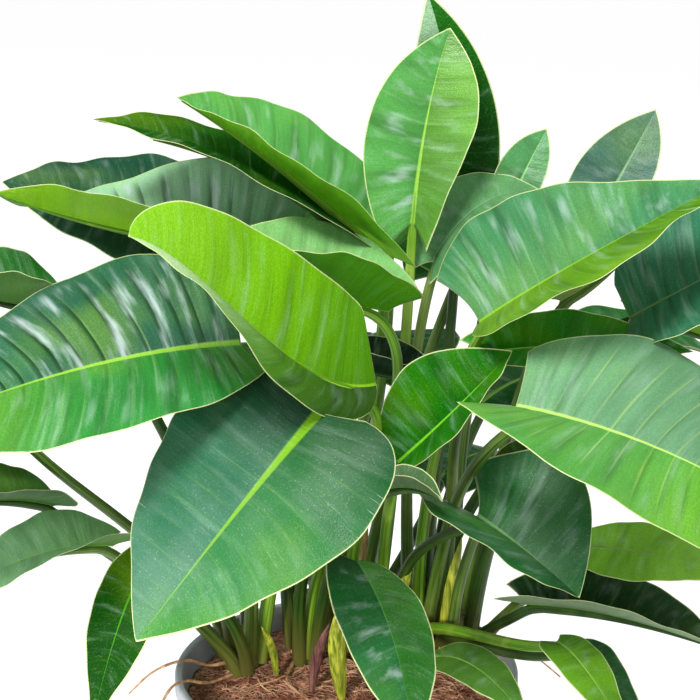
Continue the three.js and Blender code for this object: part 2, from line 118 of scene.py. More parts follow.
floor_mesh = bpy.data.meshes.new("floor")
edge = [(-1, -1), (1, -1), (1, 1), (-1, 1)]
floor_mesh.from_pydata([(x * FLOOR_HALF, y * FLOOR_HALF, 0) for x, y in edge], [], [(0, 1, 2, 3)])
floor = bpy.data.objects.new("floor", floor_mesh)
bpy.context.collection.objects.link(floor)
floor_paint = new_material("floor_paint")
tree = floor_paint.node_tree
diffuse = node(tree, "ShaderNodeBsdfDiffuse", {"Color": (FLOOR_GREY, FLOOR_GREY, FLOOR_GREY, 1)})
glow = node(tree, "ShaderNodeEmission", {"Color": (1, 1, 1, 1), "Strength": FLOOR_GLOW})
both = node(tree, "ShaderNodeAddShader", {0: diffuse.outputs[0], 1: glow.outputs[0]})
node(tree, "ShaderNodeOutputMaterial", {"Surface": both.outputs[0]})
floor_mesh.materials.append(floor_paint)

world = bpy.data.worlds.new("studio")
world.use_nodes = True
world.node_tree.nodes["Background"].inputs["Color"].default_value = (1, 1, 1, 1)
world.node_tree.nodes["Background"].inputs["Strength"].default_value = SKY_LIGHT
world.cycles_visibility.glossy = False
bpy.context.scene.world = world
bpy.context.scene.view_settings.view_transform = "Standard"
print("floor:", 2 * FLOOR_HALF, "metres across, world:", world.name)

# %% Lamps
SPOT_ANGLE = 18
PLANT_MIDDLE = (0, 0, 0.5)
PLANT_FRONT = (0, 0, 0.35)
SOIL_MIDDLE = (-0.04, -0.04, 0.25)


def add_lamp(name, place, target, size, power, tint, kind="AREA", mirrored=True):
    """A lamp that looks at a target. One that isn't mirrored lights the leaves but doesn't gleam on them."""
    lamp = bpy.data.objects.new(name, bpy.data.lights.new(name, kind))
    if kind == "AREA":
        lamp.data.shape = "DISK"
        lamp.data.size = size
    else:
        lamp.data.shadow_soft_size = size
        lamp.data.spot_size = math.radians(SPOT_ANGLE)
        lamp.data.spot_blend = 1
    lamp.data.energy = power
    lamp.data.color = tint
    lamp.location = place
    lamp.rotation_euler = (Vector(target) - Vector(place)).to_track_quat("-Z", "Y").to_euler()
    lamp.visible_glossy = mirrored
    bpy.context.collection.objects.link(lamp)


add_lamp("key", (-0.5, -1.1, 2.5), PLANT_MIDDLE, 0.9, 67, (1, 1, 0.98))
add_lamp("side", (-2.2, 0.2, 1.5), PLANT_MIDDLE, 1.2, 22, (0.95, 0.98, 1))
add_lamp("fill", (0.5, -2.4, 0.9), PLANT_FRONT, 1.4, 20, (1, 1, 1), mirrored=False)
add_lamp("back", (0.7, 1.9, 2.0), PLANT_MIDDLE, 1.2, 48, (1, 0.99, 0.94), mirrored=False)
add_lamp("low", (-0.75, -1.7, 0.85), SOIL_MIDDLE, 0.12, 150, (1, 0.94, 0.88), kind="SPOT", mirrored=False)

# %% [markdown]
# ## The shape of a leaf
# A philodendron's blade is a long oval with two small lobes behind the stalk and a drawn-out tip. It has
# one strong midrib, and each half of the blade is lifted from it like a wing, or folded up, or rolled over.
# So a leaf is described by its midrib, a smooth curve through three or four points, and by how each half
# leaves it. Two numbers then find any point of the blade: t runs along the midrib from stalk to tip, and v
# runs across it, from -1 at the left margin to 1 at the right. These are the same rules that shaped the
# frame's leaves, so the fine blades fall exactly into their places.

# %% Points of a blade
FULLNESS = 0.8
SHOULDER = 0.13
BACK_LOBE = 0.12
FORWARD_SWEEP = 0.42
SWEEP_BEND = 1.5
STALK_JOIN = 0.07
UP = np.array([0.0, 0.0, 1.0])


def unit(vectors):
    return vectors / np.linalg.norm(vectors, axis=-1, keepdims=True)


def through(points, t):
    """The smooth curve through evenly spaced points, at every t of an array."""
    points = np.array(points, float)
    t = np.asarray(t, float)
    last = len(points) - 1
    place = np.zeros(t.shape + (3,))
    for i in range(last + 1):
        weight = np.ones_like(t)
        for j in range(last + 1):
            if j != i:
                weight = weight * (t * last - j) / (i - j)
        place += weight[..., None] * points[i]
    return place


def rib_frame(leaf, t):
    """Place, direction, side and upward normal of the midrib; behind the stalk it runs straight on."""
    near = 1e-3
    inside = np.clip(t, 0, 1)
    run = (through(leaf["rib"], inside + near) - through(leaf["rib"], inside - near)) / (2 * near)
    place = through(leaf["rib"], inside) + run * np.minimum(t, 0)[..., None]
    along = unit(run)
    if "heading" in leaf:
        turn = math.radians(leaf["heading"])
        heading = np.array([math.cos(turn), math.sin(turn), 0])
    else:
        heading = np.array(leaf["rib"][-1], float) - np.array(leaf["rib"][0], float)
        heading[2] = 0
    side = np.cross(unit(heading), UP)
    side = unit(side - along * (along @ side)[..., None])
    return place, along, side, np.cross(side, along)


def halves(value):
    """A setting of the left and the right half: a pair as it is, or one value for both."""
    return value if isinstance(value, tuple) else (value, value)


def per_side(leaf, key, standard, v):
    """A setting of the half that v lies in."""
    left, right = halves(leaf.get(key, standard))
    return np.where(v > 0, right, left)


def half_width(leaf, t, v):
    """Millimetres from midrib to margin: an arch that starts at its shoulder and ends in the tip."""
    shoulder = per_side(leaf, "shoulder", SHOULDER, v)
    arch = np.sin(np.pi * (shoulder + (1 - shoulder) * t ** per_side(leaf, "full", FULLNESS, v)))
    share = per_side(leaf, "wide", 1, v)
    return leaf["width"] / 2 * share * np.maximum(arch, 0) ** per_side(leaf, "blunt", 1, v)


def lift_at(turns, t):
    """The lift in degrees along one half, from stalk to tip, by way of a middle value if there is one."""
    first, last = turns[0], turns[-1]
    middle = turns[1] if len(turns) == 3 else (first + last) / 2
    return first * (1 - t) * (1 - 2 * t) + middle * 4 * t * (1 - t) + last * t * (2 * t - 1)


def blade_point(leaf, t, v):
    """Point and upward normal of the blade at t and v."""
    lobe = per_side(leaf, "lobe", BACK_LOBE, v)
    reach = t + (1 - t) * (FORWARD_SWEEP * t - lobe) * np.abs(v) ** SWEEP_BEND
    place, _, side, normal = rib_frame(leaf, reach)
    lift = np.radians(np.where(v > 0, lift_at(leaf["right"], t), lift_at(leaf["left"], t)))
    curl = np.radians(per_side(leaf, "curl", 0, v))
    curl = np.where(curl == 0, 1e-4, curl)
    turned = lift + curl * np.abs(v)
    half = half_width(leaf, t, v)
    out = half * (np.sin(turned) - np.sin(lift)) / curl
    rise = half * (np.cos(lift) - np.cos(turned)) / curl
    point = place + side * (out * np.sign(v))[..., None] + normal * rise[..., None]
    upward = normal * np.cos(turned)[..., None] - side * (np.sin(turned) * np.sign(v))[..., None]
    return point, upward


# %% [markdown]
# ## The leaves of this plant
# Each row is one leaf: its stem, the bearing in degrees at which its stalk leaves the stem, the points of
# its midrib, its full width, and how far its left and right halves are lifted at the stalk and at the tip,
# with a value between them where the lift changes on the way. lobe, shoulder, full, wide and blunt shape
# the outline, and curl rolls a half over. Where the halves of a leaf differ, a setting is a pair, for left
# and right. The simple leaves of the frame were made from the same numbers.
#
# The other settings are its looks. kind picks one of the LOOKS, from lime young leaves to dusty old ones
# and pale undersides, and the leaf's own row says where it differs. top, under and vein are the colours of
# the upper face, the underside and the veins, and foot and tip those of the upper face near its two ends,
# where a darker foot is painted shade and some pale tips are a painted highlight. On a few leaves the colour
# of a face or a half is also painted light or shade, as their rows say. dust, gloss, streak, veining and
# midrib say how strong each of these is, glow how much light shines through, and pleat how deep the blade
# is quilted, with crease_shade for the painted shadow and painted_sheen for the painted highlight beside
# the veins.

# %% Kinds of leaf, stalks and stems
TIERS = {
    "high": dict(start=284, lean=0.15),
    "middle": dict(start=264, lean=0.3),
    "low": dict(start=258, lean=0.8),
}
LOOKS = {
    "lime": dict(top="7cc00a", under="5f9a1a", vein="b4e040", dust=0.0, glow=0.3, pleat=0.4, gloss=0.3),
    "fresh": dict(top="3c9636", under="559a1c", vein="9ccf5a", dust=0.08, glow=0.22, pleat=0.7, gloss=0.38),
    "mid": dict(top="2c7a34", under="437c2a", vein="8cc25a", dust=0.15, glow=0.16, pleat=0.7, gloss=0.35),
    "deep": dict(top="1a5522", under="38702c", vein="6fa044", dust=0.2, glow=0.12, pleat=0.5, gloss=0.25),
    "blue": dict(top="1c4a34", under="3f6440", vein="6f9060", dust=0.2, glow=0.1, pleat=0.7, gloss=0.25),
    "grey": dict(top="457f4c", under="4f7f58", vein="86b080", dust=0.2, glow=0.12, pleat=0.4, gloss=0.22),
    "pale": dict(top="64883c", under="7c9658", vein="94ac6a", dust=0.1, glow=0.12, pleat=0.4, gloss=0.3),
}
PLAIN_LOOK = dict(streak=0.5, veining=0.16, midrib=0.7, crease_shade=0.15, painted_sheen=0.12)
STALK_OF_LOOK = dict(lime="bright", fresh="bright", mid="olive", grey="olive", pale="olive", deep="dark",
                     blue="dark")
STEMS = {
    "left": dict(x=-88, y=40, top=292),
    "mid_left": dict(x=-38, y=58, top=318),
    "centre": dict(x=12, y=70, top=326),
    "mid_right": dict(x=62, y=82, top=318),
    "right": dict(x=98, y=62, top=296),
    "rear": dict(x=0, y=114, top=300),
}
print("kinds of leaf:", list(LOOKS), "stems:", list(STEMS))

# %% Leaf table
LEAVES = [
    # Its left half, which hangs down, is painted darker as painted shade, both feet are painted shade, and
    # the near-white left tip is a painted highlight.
    dict(name="leaf_young_lime", kind="lime", stem="mid_left", at=-75, tier="high",
         rib=[(24, -108, 573), (-42, -140, 606), (-106, -165, 674), (-163, -180, 716)], width=150,
         left=(-42, -10, -4), right=(76, 58, 44), lobe=(-0.05, 0.0), shoulder=(0.13, 0.2),
         full=(0.8, 0.85), wide=(0.74, 0.98), blunt=(1, 0.6),
         top=("5c9a2c", "7cc402"), under="4c7a10", vein="8fc81e", dust=0, glow=0.34, pleat=0.5,
         midrib=0.25, crease_shade=0, painted_sheen=0.08, streak=0.9, gloss=0.2, foot=("1c3206", "468404"),
         tip=("e0fcc8", "90d028")),
    dict(name="leaf_left_middle", kind="fresh", stem="centre", at=-130, tier="high",
         rib=[(35, -28, 608), (-38, -34, 631), (-112, -45, 673)], width=164,
         left=(44, 36), right=(30, 46), lobe=0.16, wide=(1, 0.94),
         top=("3c9404", "9ce088"), under="4f9c0c", pleat=0.6, midrib=0.4, glow=0.35, gloss=0.2, dust=0),
    # Its underside is painted pale yellow-green as painted light: the fold strip that shows it lies in shade.
    dict(name="leaf_upper_left", kind="fresh", stem="centre", at=180, tier="high",
         rib=[(38, 60, 628), (-59, 50, 714), (-140, 40, 771)], width=180,
         left=(22, 15), right=(28, 25), curl=(0, -10), lobe=(0.05, 0.08), shoulder=(0.15, 0.27),
         full=(0.8, 0.78), wide=(0.72, 1.06),
         top=("50aa42", "66bc5c"), under=("a8f040", "a8f040"), pleat=0.8, glow=0.4, midrib=0.4,
         streak=0.7, painted_sheen=0.35),
    dict(name="leaf_upper_left_dark", kind="deep", stem="mid_left", at=60, tier="high",
         rib=[(-1, 60, 656), (-110, 55, 722), (-212, 50, 750)], width=140,
         left=(10, 10), right=(8, 5), curl=(-5, -5),
         top="154a0c", under="1f5c0a", gloss=0, glow=0.15, dust=0.0, midrib=0.3, crease_shade=0.1, painted_sheen=0),
    dict(name="leaf_upper_left_small", kind="pale", stem="mid_left", at=105, tier="high",
         rib=[(-45, 140, 668), (-110, 140, 696), (-172, 140, 711)], width=60,
         left=(30, 30), right=(10, 10), top="8fae6a", under="8aa860"),
    dict(name="leaf_left_shaded", kind="blue", stem="mid_left", at=150, tier="high",
         rib=[(-78, 142, 645), (-187, 132, 661), (-300, 122, 677)], width=226,
         left=(-15, -15), right=(8, 12), curl=(-10, -10), wide=(0.9, 1),
         top="1d4a36", under="33503f", gloss=0.2, midrib=0.5),
    # Its near-white upper face is painted light: a green brightened to stand for lit gloss on a face that
    # lies in shade.
    dict(name="leaf_left_arching", kind="fresh", stem="left", at=-20, tier="high",
         rib=[(-52, 77, 633), (-174, 52, 652), (-293, 32, 692)], width=180,
         left=(4, 55), right=(70, -25), curl=(0, -10),
         top="b8f0c0", under=("a8dc30", "5f9a4a"), pleat=1.2, gloss=0.6, glow=0.4, midrib=0.4,
         crease_shade=0.8, painted_sheen=1.2),
    dict(name="leaf_left_broad", kind="mid", stem="left", at=-80, tier="high",
         rib=[(-84, -80, 598), (-228, -120, 585), (-390, -150, 529)], width=210,
         left=(-10, -10), right=(34, 8), curl=(-8, -8), lobe=(0.04, 0.02), full=(0.8, 0.6),
         wide=(0.92, 1.12),
         top=("288a34", "245f46"), under="3f8a28", vein="8fc63e", pleat=1.5, dust=0.15, gloss=0.6,
         streak=0.8, crease_shade=(0.3, 1.0), painted_sheen=(0.15, 0.6), tip=("70b02c", "3f8258")),
    dict(name="leaf_front_broad", kind="deep", stem="mid_left", at=-106, tier="middle", drop=1.1,
         rib=[(-21, -165, 570), (-80, -217, 513), (-160, -250, 415)], width=220,
         left=(-15, -15), right=(18, 15), curl=(-5, -5), lobe=(0.05, 0.24), shoulder=(0.12, 0.25),
         full=(0.64, 1.2), wide=(0.93, 1.0), blunt=(1, 0.85),
         top=("1a6c30", "2a6a4c"), under="4d8048", vein="6fa50e", dust=0.45, pleat=0.3, gloss=0.28,
         streak=0.3, midrib=0.9, veining=0.14, crease_shade=0, painted_sheen=0.05, foot=("143c1e", "10301c")),
    dict(name="leaf_left_outer", kind="deep", stem="left", at=195, tier="high",
         rib=[(-234, 40, 593), (-292, 25, 600), (-360, 15, 632)], width=144,
         left=(36, 36), right=(36, 36), lobe=(0.0, -0.06), wide=(1, 0.82),
         top="1f6a1c", under="56863c", midrib=0.4),
    dict(name="leaf_left_low_far", kind="deep", stem="left", at=168, tier="low",
         rib=[(-256, 30, 412), (-298, 10, 425), (-367, -10, 424)], width=110,
         left=(30, 30), right=(14, 14),
         top="1f5a20", under="3a6430", gloss=0.12, painted_sheen=0),
    dict(name="leaf_left_low", kind="mid", stem="left", at=237, tier="low",
         rib=[(-195, -60, 413), (-253, -80, 414), (-326, -100, 387)], width=116,
         left=(40, -12), right=(10, 10),
         top="84bc82", under="50803c"),
    dict(name="leaf_left_hanging", kind="deep", stem="left", at=270, tier="low",
         rib=[(-160, -110, 426), (-184, -140, 377), (-206, -160, 298)], width=72,
         left=(0, 0), right=(0, 0),
         top="0c4200", under="3a6a24", gloss=0.1, painted_sheen=0, crease_shade=0, dust=0, vein="3f8a1c"),
    dict(name="leaf_front_hanging", kind="mid", stem="centre", at=-90, tier="middle",
         rib=[(9, -170, 448), (37, -215, 400), (52, -240, 322)], width=84,
         left=(0, 0), right=(0, 0), lobe=(-0.06, 0.12), wide=(0.85, 1),
         top=("2a6a22", "206a34"), under="3f7a30", dust=0.35, pleat=0.3, gloss=0.25, midrib=0.35,
         crease_shade=0, painted_sheen=(0.05, 0.3), vein="4a8a3c", foot=("3a7a18", "0c4414")),
    dict(name="leaf_top_upright", kind="fresh", stem="centre", at=20, tier="high", heading=90,
         rib=[(56, 60, 656), (68, 85, 741), (88, 110, 815)], width=104,
         left=(15, 10), right=(45, 10), full=(0.85, 1.1), wide=(0.97, 0.9),
         top=("5cac52", "6caa3e"), under="5f9a2a", vein="9ccf4e", pleat=0.6, midrib=0.6,
         painted_sheen=(0.4, 0.15), streak=0.7, dust=0),
    # The pale grey-green tip of its left half is painted light, where the top of the leaf is lit.
    dict(name="leaf_top_behind", kind="deep", stem="mid_right", at=60, tier="high", heading=90,
         rib=[(97, 110, 650), (91, 125, 749), (69, 130, 841)], width=76,
         left=(10, 10), right=(10, 10),
         top="0f420c", under="2a5f1c", gloss=0.08, glow=0.08, midrib=0.4, crease_shade=0, painted_sheen=0,
         tip=("a4cca4", "1f6a14"), dust=0),
    dict(name="leaf_top_small", kind="mid", stem="right", at=95, tier="high", heading=90,
         rib=[(136, 90, 656), (156, 105, 696), (173, 120, 725)], width=47,
         left=(10, 10), right=(10, 10), wide=(1, 0.8),
         top="549a5c", under="5c9a50", vein="8fce7a"),
    dict(name="leaf_top_grey", kind="grey", stem="mid_right", at=110, tier="high",
         rib=[(73, 60, 623), (112, 70, 670), (165, 80, 681)], width=85,
         left=(35, 20), right=(0, 0),
         top="5f9a60", under="5f965c", midrib=0.4, gloss=0.15),
    dict(name="leaf_top_right", kind="grey", stem="right", at=50, tier="high", heading=90,
         rib=[(216, 110, 646), (246, 130, 695), (270, 150, 735)], width=78,
         left=(10, 10), right=(10, 10), full=(0.6, 0.8), wide=(1, 0.7),
         top="446f62", under="6a9474", dust=0.3),
    dict(name="leaf_right_large", kind="fresh", stem="mid_right", at=-87, tier="high",
         rib=[(108, -40, 602), (184, -60, 659), (304, -60, 727)], width=200,
         left=(36, 36), right=(4, 1), lobe=(0.22, -0.03), shoulder=(0.22, 0.1), wide=(1, 0.9),
         top=("468c5a", "5c9000"), under="86bc16", vein="8cc02c", pleat=0.8, midrib=0.4, streak=0.8,
         painted_sheen=(0.3, 0.1), gloss=0.22, dust=0),
    dict(name="leaf_right_under", kind="mid", stem="mid_right", at=-20, tier="middle",
         rib=[(110, -39, 576), (194, -56, 588), (282, -62, 584)], width=98,
         left=(20, 14), right=(0, 0),
         top="1a7a00", under="3c8a14", gloss=0.05, midrib=0.4, painted_sheen=0),
    dict(name="leaf_right_ribbed", kind="mid", stem="mid_right", at=-60, tier="middle", stalk=4.5,
         rib=[(132, -150, 570), (256, -210, 549), (379, -250, 483)], width=225,
         left=(36, -10), right=(18, -45), curl=(-8, -8), lobe=(0.04, 0.12), wide=(1, 0.78),
         blunt=(0.8, 1),
         top=("6ca074", "56a044"), under="5ba052", vein="b8e070", dust=0.1, pleat=2.0, midrib=0.45,
         veining=0.35, crease_shade=0.3, tip=("74a87c", "8cdc00")),
    dict(name="leaf_right_shaded", kind="blue", stem="mid_right", at=3, tier="high",
         rib=[(233, -20, 599), (296, -30, 639), (390, -40, 693)], width=188,
         left=(38, 30), right=(-5, -5), lobe=0.02,
         top="2c7252", under="3f7040", pleat=1.2, midrib=0.4, veining=0.3, crease_shade=0.5),
    dict(name="leaf_right_narrow", kind="deep", stem="right", at=-20, tier="high",
         rib=[(239, 25, 590), (290, 20, 575), (374, 10, 547)], width=80,
         left=(10, 10), right=(45, 45), top="24660c", under="5f8f20"),
    dict(name="leaf_right_inner", kind="pale", stem="right", at=15, tier="high",
         rib=[(183, 60, 589), (217, 60, 611), (249, 60, 642)], width=80,
         left=(20, 20), right=(40, 40), top="7a9a4c", under="86a055"),
    dict(name="leaf_centre_bright", kind="fresh", stem="centre", at=-50, tier="middle",
         rib=[(42, -85, 497), (88, -92, 546), (133, -88, 594)], width=108,
         left=(62, 62), right=(0, 0), lobe=0.1, shoulder=0.08,
         top=("107000", "207c00"), under="3f9a14", vein="7fd026", pleat=0.5, midrib=0.5, streak=0.8,
         painted_sheen=0.06, gloss=0.12, dust=0),
    dict(name="leaf_front_right", kind="deep", stem="mid_right", at=-130, tier="middle",
         rib=[(106, -100, 457), (146, -140, 441), (185, -170, 415)], width=161,
         left=(40, 40), right=(25, 22), lobe=0.3,
         top="226430", under="4a7440", vein="6f9a60", dust=0.5, pleat=0.3, gloss=0.2, streak=0.3,
         midrib=0.5, crease_shade=0, painted_sheen=0.15, veining=0.2),
    dict(name="leaf_right_beneath", kind="pale", stem="right", at=-100, tier="low",
         rib=[(130, -20, 455), (176, -20, 464), (223, -20, 446)], width=90,
         left=(20, 20), right=(40, 40),
         top="3c5c18", under="4c6c20", gloss=0.1, painted_sheen=0),
    dict(name="leaf_right_low_pale", kind="pale", stem="right", at=-6, tier="low",
         rib=[(203, -20, 396), (256, -40, 397), (326, -60, 386)], width=86,
         left=(10, 10), right=(-12, -12),
         top="8ccc38", under="88a468"),
    dict(name="leaf_right_low_dark", kind="deep", stem="right", at=-65, tier="low",
         rib=[(148, -60, 360), (228, -85, 359), (321, -110, 336)], width=110,
         left=(22, 15), right=(32, 32), top="143a1a", under="7f9a70"),
    dict(name="leaf_right_low_bright", kind="fresh", stem="mid_right", at=-95, tier="low",
         rib=[(171, -130, 359), (195, -160, 345), (229, -190, 295)], width=50,
         left=(0, 0), right=(0, 0), top="6aa61e", under="6fa02a"),
    dict(name="leaf_right_low_small", kind="deep", stem="right", at=-135, tier="low",
         rib=[(180, -90, 331), (210, -110, 320), (248, -140, 269)], width=66,
         left=(0, 0), right=(0, 0), top="1c5a26", under="3a6a30"),
    dict(name="leaf_front_small", kind="fresh", stem="centre", at=-15, tier="middle",
         rib=[(71, -100, 330), (108, -120, 329), (149, -160, 298)], width=60,
         left=(0, 0), right=(0, 0), top="5a8f31", under="5f8f38"),
    dict(name="leaf_centre_dark", kind="blue", stem="mid_left", at=-15, tier="high",
         rib=[(5, 22, 550), (45, 20, 536), (95, 18, 531)], width=76,
         left=(30, 30), right=(35, 35),
         top="0c2418", under="16301c", gloss=0.08, glow=0.04, midrib=0.5, crease_shade=0, painted_sheen=0),
    dict(name="leaf_centre_curled", kind="deep", stem="mid_left", at=-55, tier="middle",
         rib=[(21, -150, 496), (49, -158, 505), (76, -165, 495)], width=45,
         left=(30, 30), right=(45, 45), top="3c5c40", under="56704c", dust=0.4),
    dict(name="leaf_rear_left_high", kind="mid", stem="rear", at=165, tier="high",
         rib=[(-85, 185, 560), (-150, 245, 590), (-215, 305, 575)], width=170,
         left=(15, 10), right=(15, 10), curl=(-8, -8)),
    dict(name="leaf_rear_left_low", kind="deep", stem="left", at=95, tier="low",
         rib=[(-95, 140, 470), (-160, 200, 480), (-235, 255, 430)], width=160,
         left=(10, 5), right=(10, 5), curl=(-8, -8)),
    dict(name="leaf_rear_far_left", kind="mid", stem="left", at=132, tier="low",
         rib=[(-285, 60, 470), (-340, 80, 475), (-410, 100, 440)], width=120, left=(15, 5), right=(15, 5)),
    dict(name="leaf_rear_high", kind="fresh", stem="rear", at=60, tier="high",
         rib=[(40, 150, 600), (25, 220, 645), (5, 300, 645)], width=170,
         left=(20, 10), right=(20, 10), curl=(-8, -8)),
    dict(name="leaf_rear_middle", kind="deep", stem="rear", at=85, tier="low",
         rib=[(22, 162, 480), (24, 240, 498), (30, 330, 450)], width=165,
         left=(10, 5), right=(10, 5), curl=(-10, -10)),
    dict(name="leaf_rear_right_high", kind="mid", stem="rear", at=-10, tier="high",
         rib=[(95, 130, 590), (155, 200, 622), (225, 270, 625)], width=160,
         left=(15, 10), right=(15, 10), curl=(-8, -8)),
    dict(name="leaf_rear_right_low", kind="deep", stem="right", at=118, tier="low",
         rib=[(121, 140, 466), (196, 200, 476), (286, 250, 436)], width=161,
         left=(10, 5), right=(10, 5), curl=(-8, -8)),
    dict(name="leaf_rear_far_right", kind="mid", stem="right", at=68, tier="low",
         rib=[(190, 90, 515), (265, 115, 535), (350, 145, 500)], width=130, left=(15, 5), right=(15, 5)),
    dict(name="leaf_rear_low_left", kind="mid", stem="rear", at=150, tier="low",
         rib=[(-55, 165, 375), (-90, 230, 380), (-125, 300, 330)], width=120,
         left=(5, 0), right=(5, 0), curl=(-8, -8)),
    dict(name="leaf_rear_low_right", kind="deep", stem="rear", at=20, tier="low",
         rib=[(85, 160, 385), (135, 215, 390), (190, 280, 340)], width=120,
         left=(5, 0), right=(5, 0), curl=(-8, -8)),
]
print("leaves:", len(LEAVES))

# %% [markdown]
# ## Relief of the blade
# The side veins leave the midrib about every 17 mm and curve forward to the margin. On the upper face they
# lie in fine creases and the blade swells between them, so a big leaf looks quilted under a soft lamp. A
# bump in the finish would give that look from the front only, so this relief is real geometry: the rows of
# the blade's grid are placed so that every vein falls on a row. The swelling dies away by the midrib and
# the margin, a shallow channel follows the midrib, and the margin waves gently, as no leaf is cut with a
# ruler.

# %% Relief
SWELL_ROUND = 0.7  # below 1, the swellings are broad and the creases sharp
SWELL_MIDDLE = 0.65  # the part of a swelling that lies level with the smooth blade
FLAT_BY_RIB = 12
FLAT_BY_MARGIN = 0.25  # as a share of the half
CHANNEL_DEPTH = 0.9
CHANNEL_HALF = 3.5
WAVES = 2.3
WAVE_HEIGHT = 2.2  # on a leaf of WAVE_WIDTH
WAVE_WIDTH = 200


def ramp(value, width, least=0.0):
    """Rises evenly to 1 as the value goes from 0 to width, but never lies below least."""
    return np.clip(value / width, least, 1)


def relief(leaf, u, t, v, half, seed):
    """Height of the upper face over the smooth blade, in millimetres."""
    # Every swelling has its own height, and the two halves differ.
    from_rib = half * np.abs(v)
    phase = u * leaf["veins"]
    swell = np.abs(np.sin(np.pi * phase)) ** SWELL_ROUND - SWELL_MIDDLE
    swell = swell * (0.6 + 0.4 * np.sin(2.1 * np.round(phase) + 1.7 * seed + 2 * (v > 0)))
    fade = ramp(from_rib, FLAT_BY_RIB) * ramp(1 - np.abs(v), FLAT_BY_MARGIN, 0.15) * ramp(t, 0.06)
    pleat = leaf["pleat"] * swell * fade
    # The channel over the midrib gets shallower and narrower towards the tip.
    channel = -CHANNEL_DEPTH * np.exp(-(from_rib / (CHANNEL_HALF * (1.1 - t))) ** 2) * (1 - t)
    # The margin waves, but not at the stalk and the tip.
    ends = ramp(t, 0.15) * ramp(1 - t, 0.2)
    turn = 2 * np.pi * (WAVES * t + 0.37 * seed + 0.5 * (v > 0))
    wave = np.sin(turn) + 0.5 * np.sin(2.3 * turn + seed)
    size = WAVE_HEIGHT * leaf["width"] / WAVE_WIDTH
    return pleat + channel + size * wave * np.abs(v) ** 2.5 * ends


# %% Grid of a blade
VEIN_SPACING = 17
ROWS_PER_VEIN = 8
ROW_DRIFT = 0.012  # how far the rows stray from even steps, so that the veins aren't ruled
CELLS_ACROSS = 18
CELLS_CROWDED = 0.65
BLADE_THICK = 0.75
THIN_MARGIN = 0.45
THIN_TIP = 0.15


def leaf_length(leaf):
    steps = through(leaf["rib"], np.linspace(0, 1, 40))
    return np.linalg.norm(np.diff(steps, axis=0), axis=1).sum()


def spread(count):
    """Steps from 0 to 1, closer together at both ends, where the midrib and the margin are."""
    even = np.linspace(0, 1, count + 1)
    return even - CELLS_CROWDED * np.sin(2 * np.pi * even) / (2 * np.pi)


def blade_grid(leaf, seed):
    """Arrays over the blade: points of both faces, u, v and t, and millimetres from midrib and margin."""
    rows = leaf["veins"] * ROWS_PER_VEIN
    u = np.linspace(0, 1, rows + 1)
    t = u + ROW_DRIFT * np.sin(2 * np.pi * (1.7 * u + 0.21 * seed)) * u * (1 - u) * 4
    half_steps = spread(CELLS_ACROSS)
    v = np.concatenate([-half_steps[:0:-1], half_steps])
    u_grid, v_grid = np.meshgrid(u, v, indexing="ij")
    t_grid = np.repeat(t[:, None], len(v), axis=1)
    half = half_width(leaf, t_grid, v_grid)
    point, upward = blade_point(leaf, t_grid, v_grid)
    top = point + upward * relief(leaf, u_grid, t_grid, v_grid, half, seed)[..., None]
    thick = np.clip((1 - np.abs(v_grid)) * 4, THIN_MARGIN, 1) * BLADE_THICK
    thick = thick * np.clip((1 - t_grid) * 20, THIN_TIP, 1)
    under = top - upward * thick[..., None]
    rib_mm = half * np.abs(v_grid)
    ahead = np.linalg.norm(point - through(leaf["rib"], np.array(1.0)), axis=-1)
    edge_mm = np.minimum(half * (1 - np.abs(v_grid)), ahead * 0.5)
    edge_mm = np.minimum(edge_mm, t_grid * leaf["length"] + 0.5)
    return top, under, u_grid, v_grid, t_grid, rib_mm, edge_mm


lengths = [leaf_length(leaf) for leaf in LEAVES]
print("midribs:", round(min(lengths)), "to", round(max(lengths)), "mm")

# %% [markdown]
# ## A blade as a closed skin
# The blade has an upper face, an underside and a narrow margin that joins them, and each has its own
# finish. So the grid is written twice, once for each face, and a strip of quads closes it all round. Each
# corner keeps its place along and across the leaf in a UV map, and its distance from the midrib and from
# the margin in two attributes. The finish reads those, and so its veins follow the leaf however it bends.

# %% Blade mesh
SLOT_TOP, SLOT_UNDER, SLOT_MARGIN, SLOT_STALK = range(4)


def blade_mesh(leaf, seed):
    """The grid's upper face, its underside turned over, and the strip of quads round their margin."""
    top, under, u, v, t, rib_mm, edge_mm = blade_grid(leaf, seed)
    rows, columns = u.shape
    number = np.arange(rows * columns).reshape(rows, columns)
    shift = rows * columns
    near, far = number[:-1], number[1:]
    upper = np.stack([near[:, :-1], near[:, 1:], far[:, 1:], far[:, :-1]], axis=-1).reshape(-1, 4)
    lower = upper[:, ::-1] + shift
    rim = np.concatenate([number[0], number[1:, -1], number[-1, -2::-1], number[-2:0:-1, 0]])
    following = np.roll(rim, -1)
    strip = np.stack([following, rim, rim + shift, following + shift], axis=-1)
    faces = np.concatenate([upper, lower, strip])
    slots = np.repeat([SLOT_TOP, SLOT_UNDER, SLOT_MARGIN], [len(upper), len(lower), len(strip)])
    corners = np.concatenate([top.reshape(-1, 3), under.reshape(-1, 3)]) * MM
    mesh = bpy.data.meshes.new(leaf["name"])
    mesh.from_pydata(corners.tolist(), [], faces.tolist())
    mesh.polygons.foreach_set("material_index", slots.astype(np.int32))
    for name, values in (("rib_mm", rib_mm), ("edge_mm", edge_mm), ("along", t)):
        held = mesh.attributes.new(name, "FLOAT", "POINT")
        held.data.foreach_set("value", np.tile(values.ravel(), 2).astype(np.float32))
    uv = np.tile(np.stack([u.ravel(), v.ravel()], axis=-1), (2, 1))
    uv_layer = mesh.uv_layers.new(name="leaf")
    uv_layer.data.foreach_set("uv", uv[faces.ravel()].astype(np.float32).ravel())
    return mesh


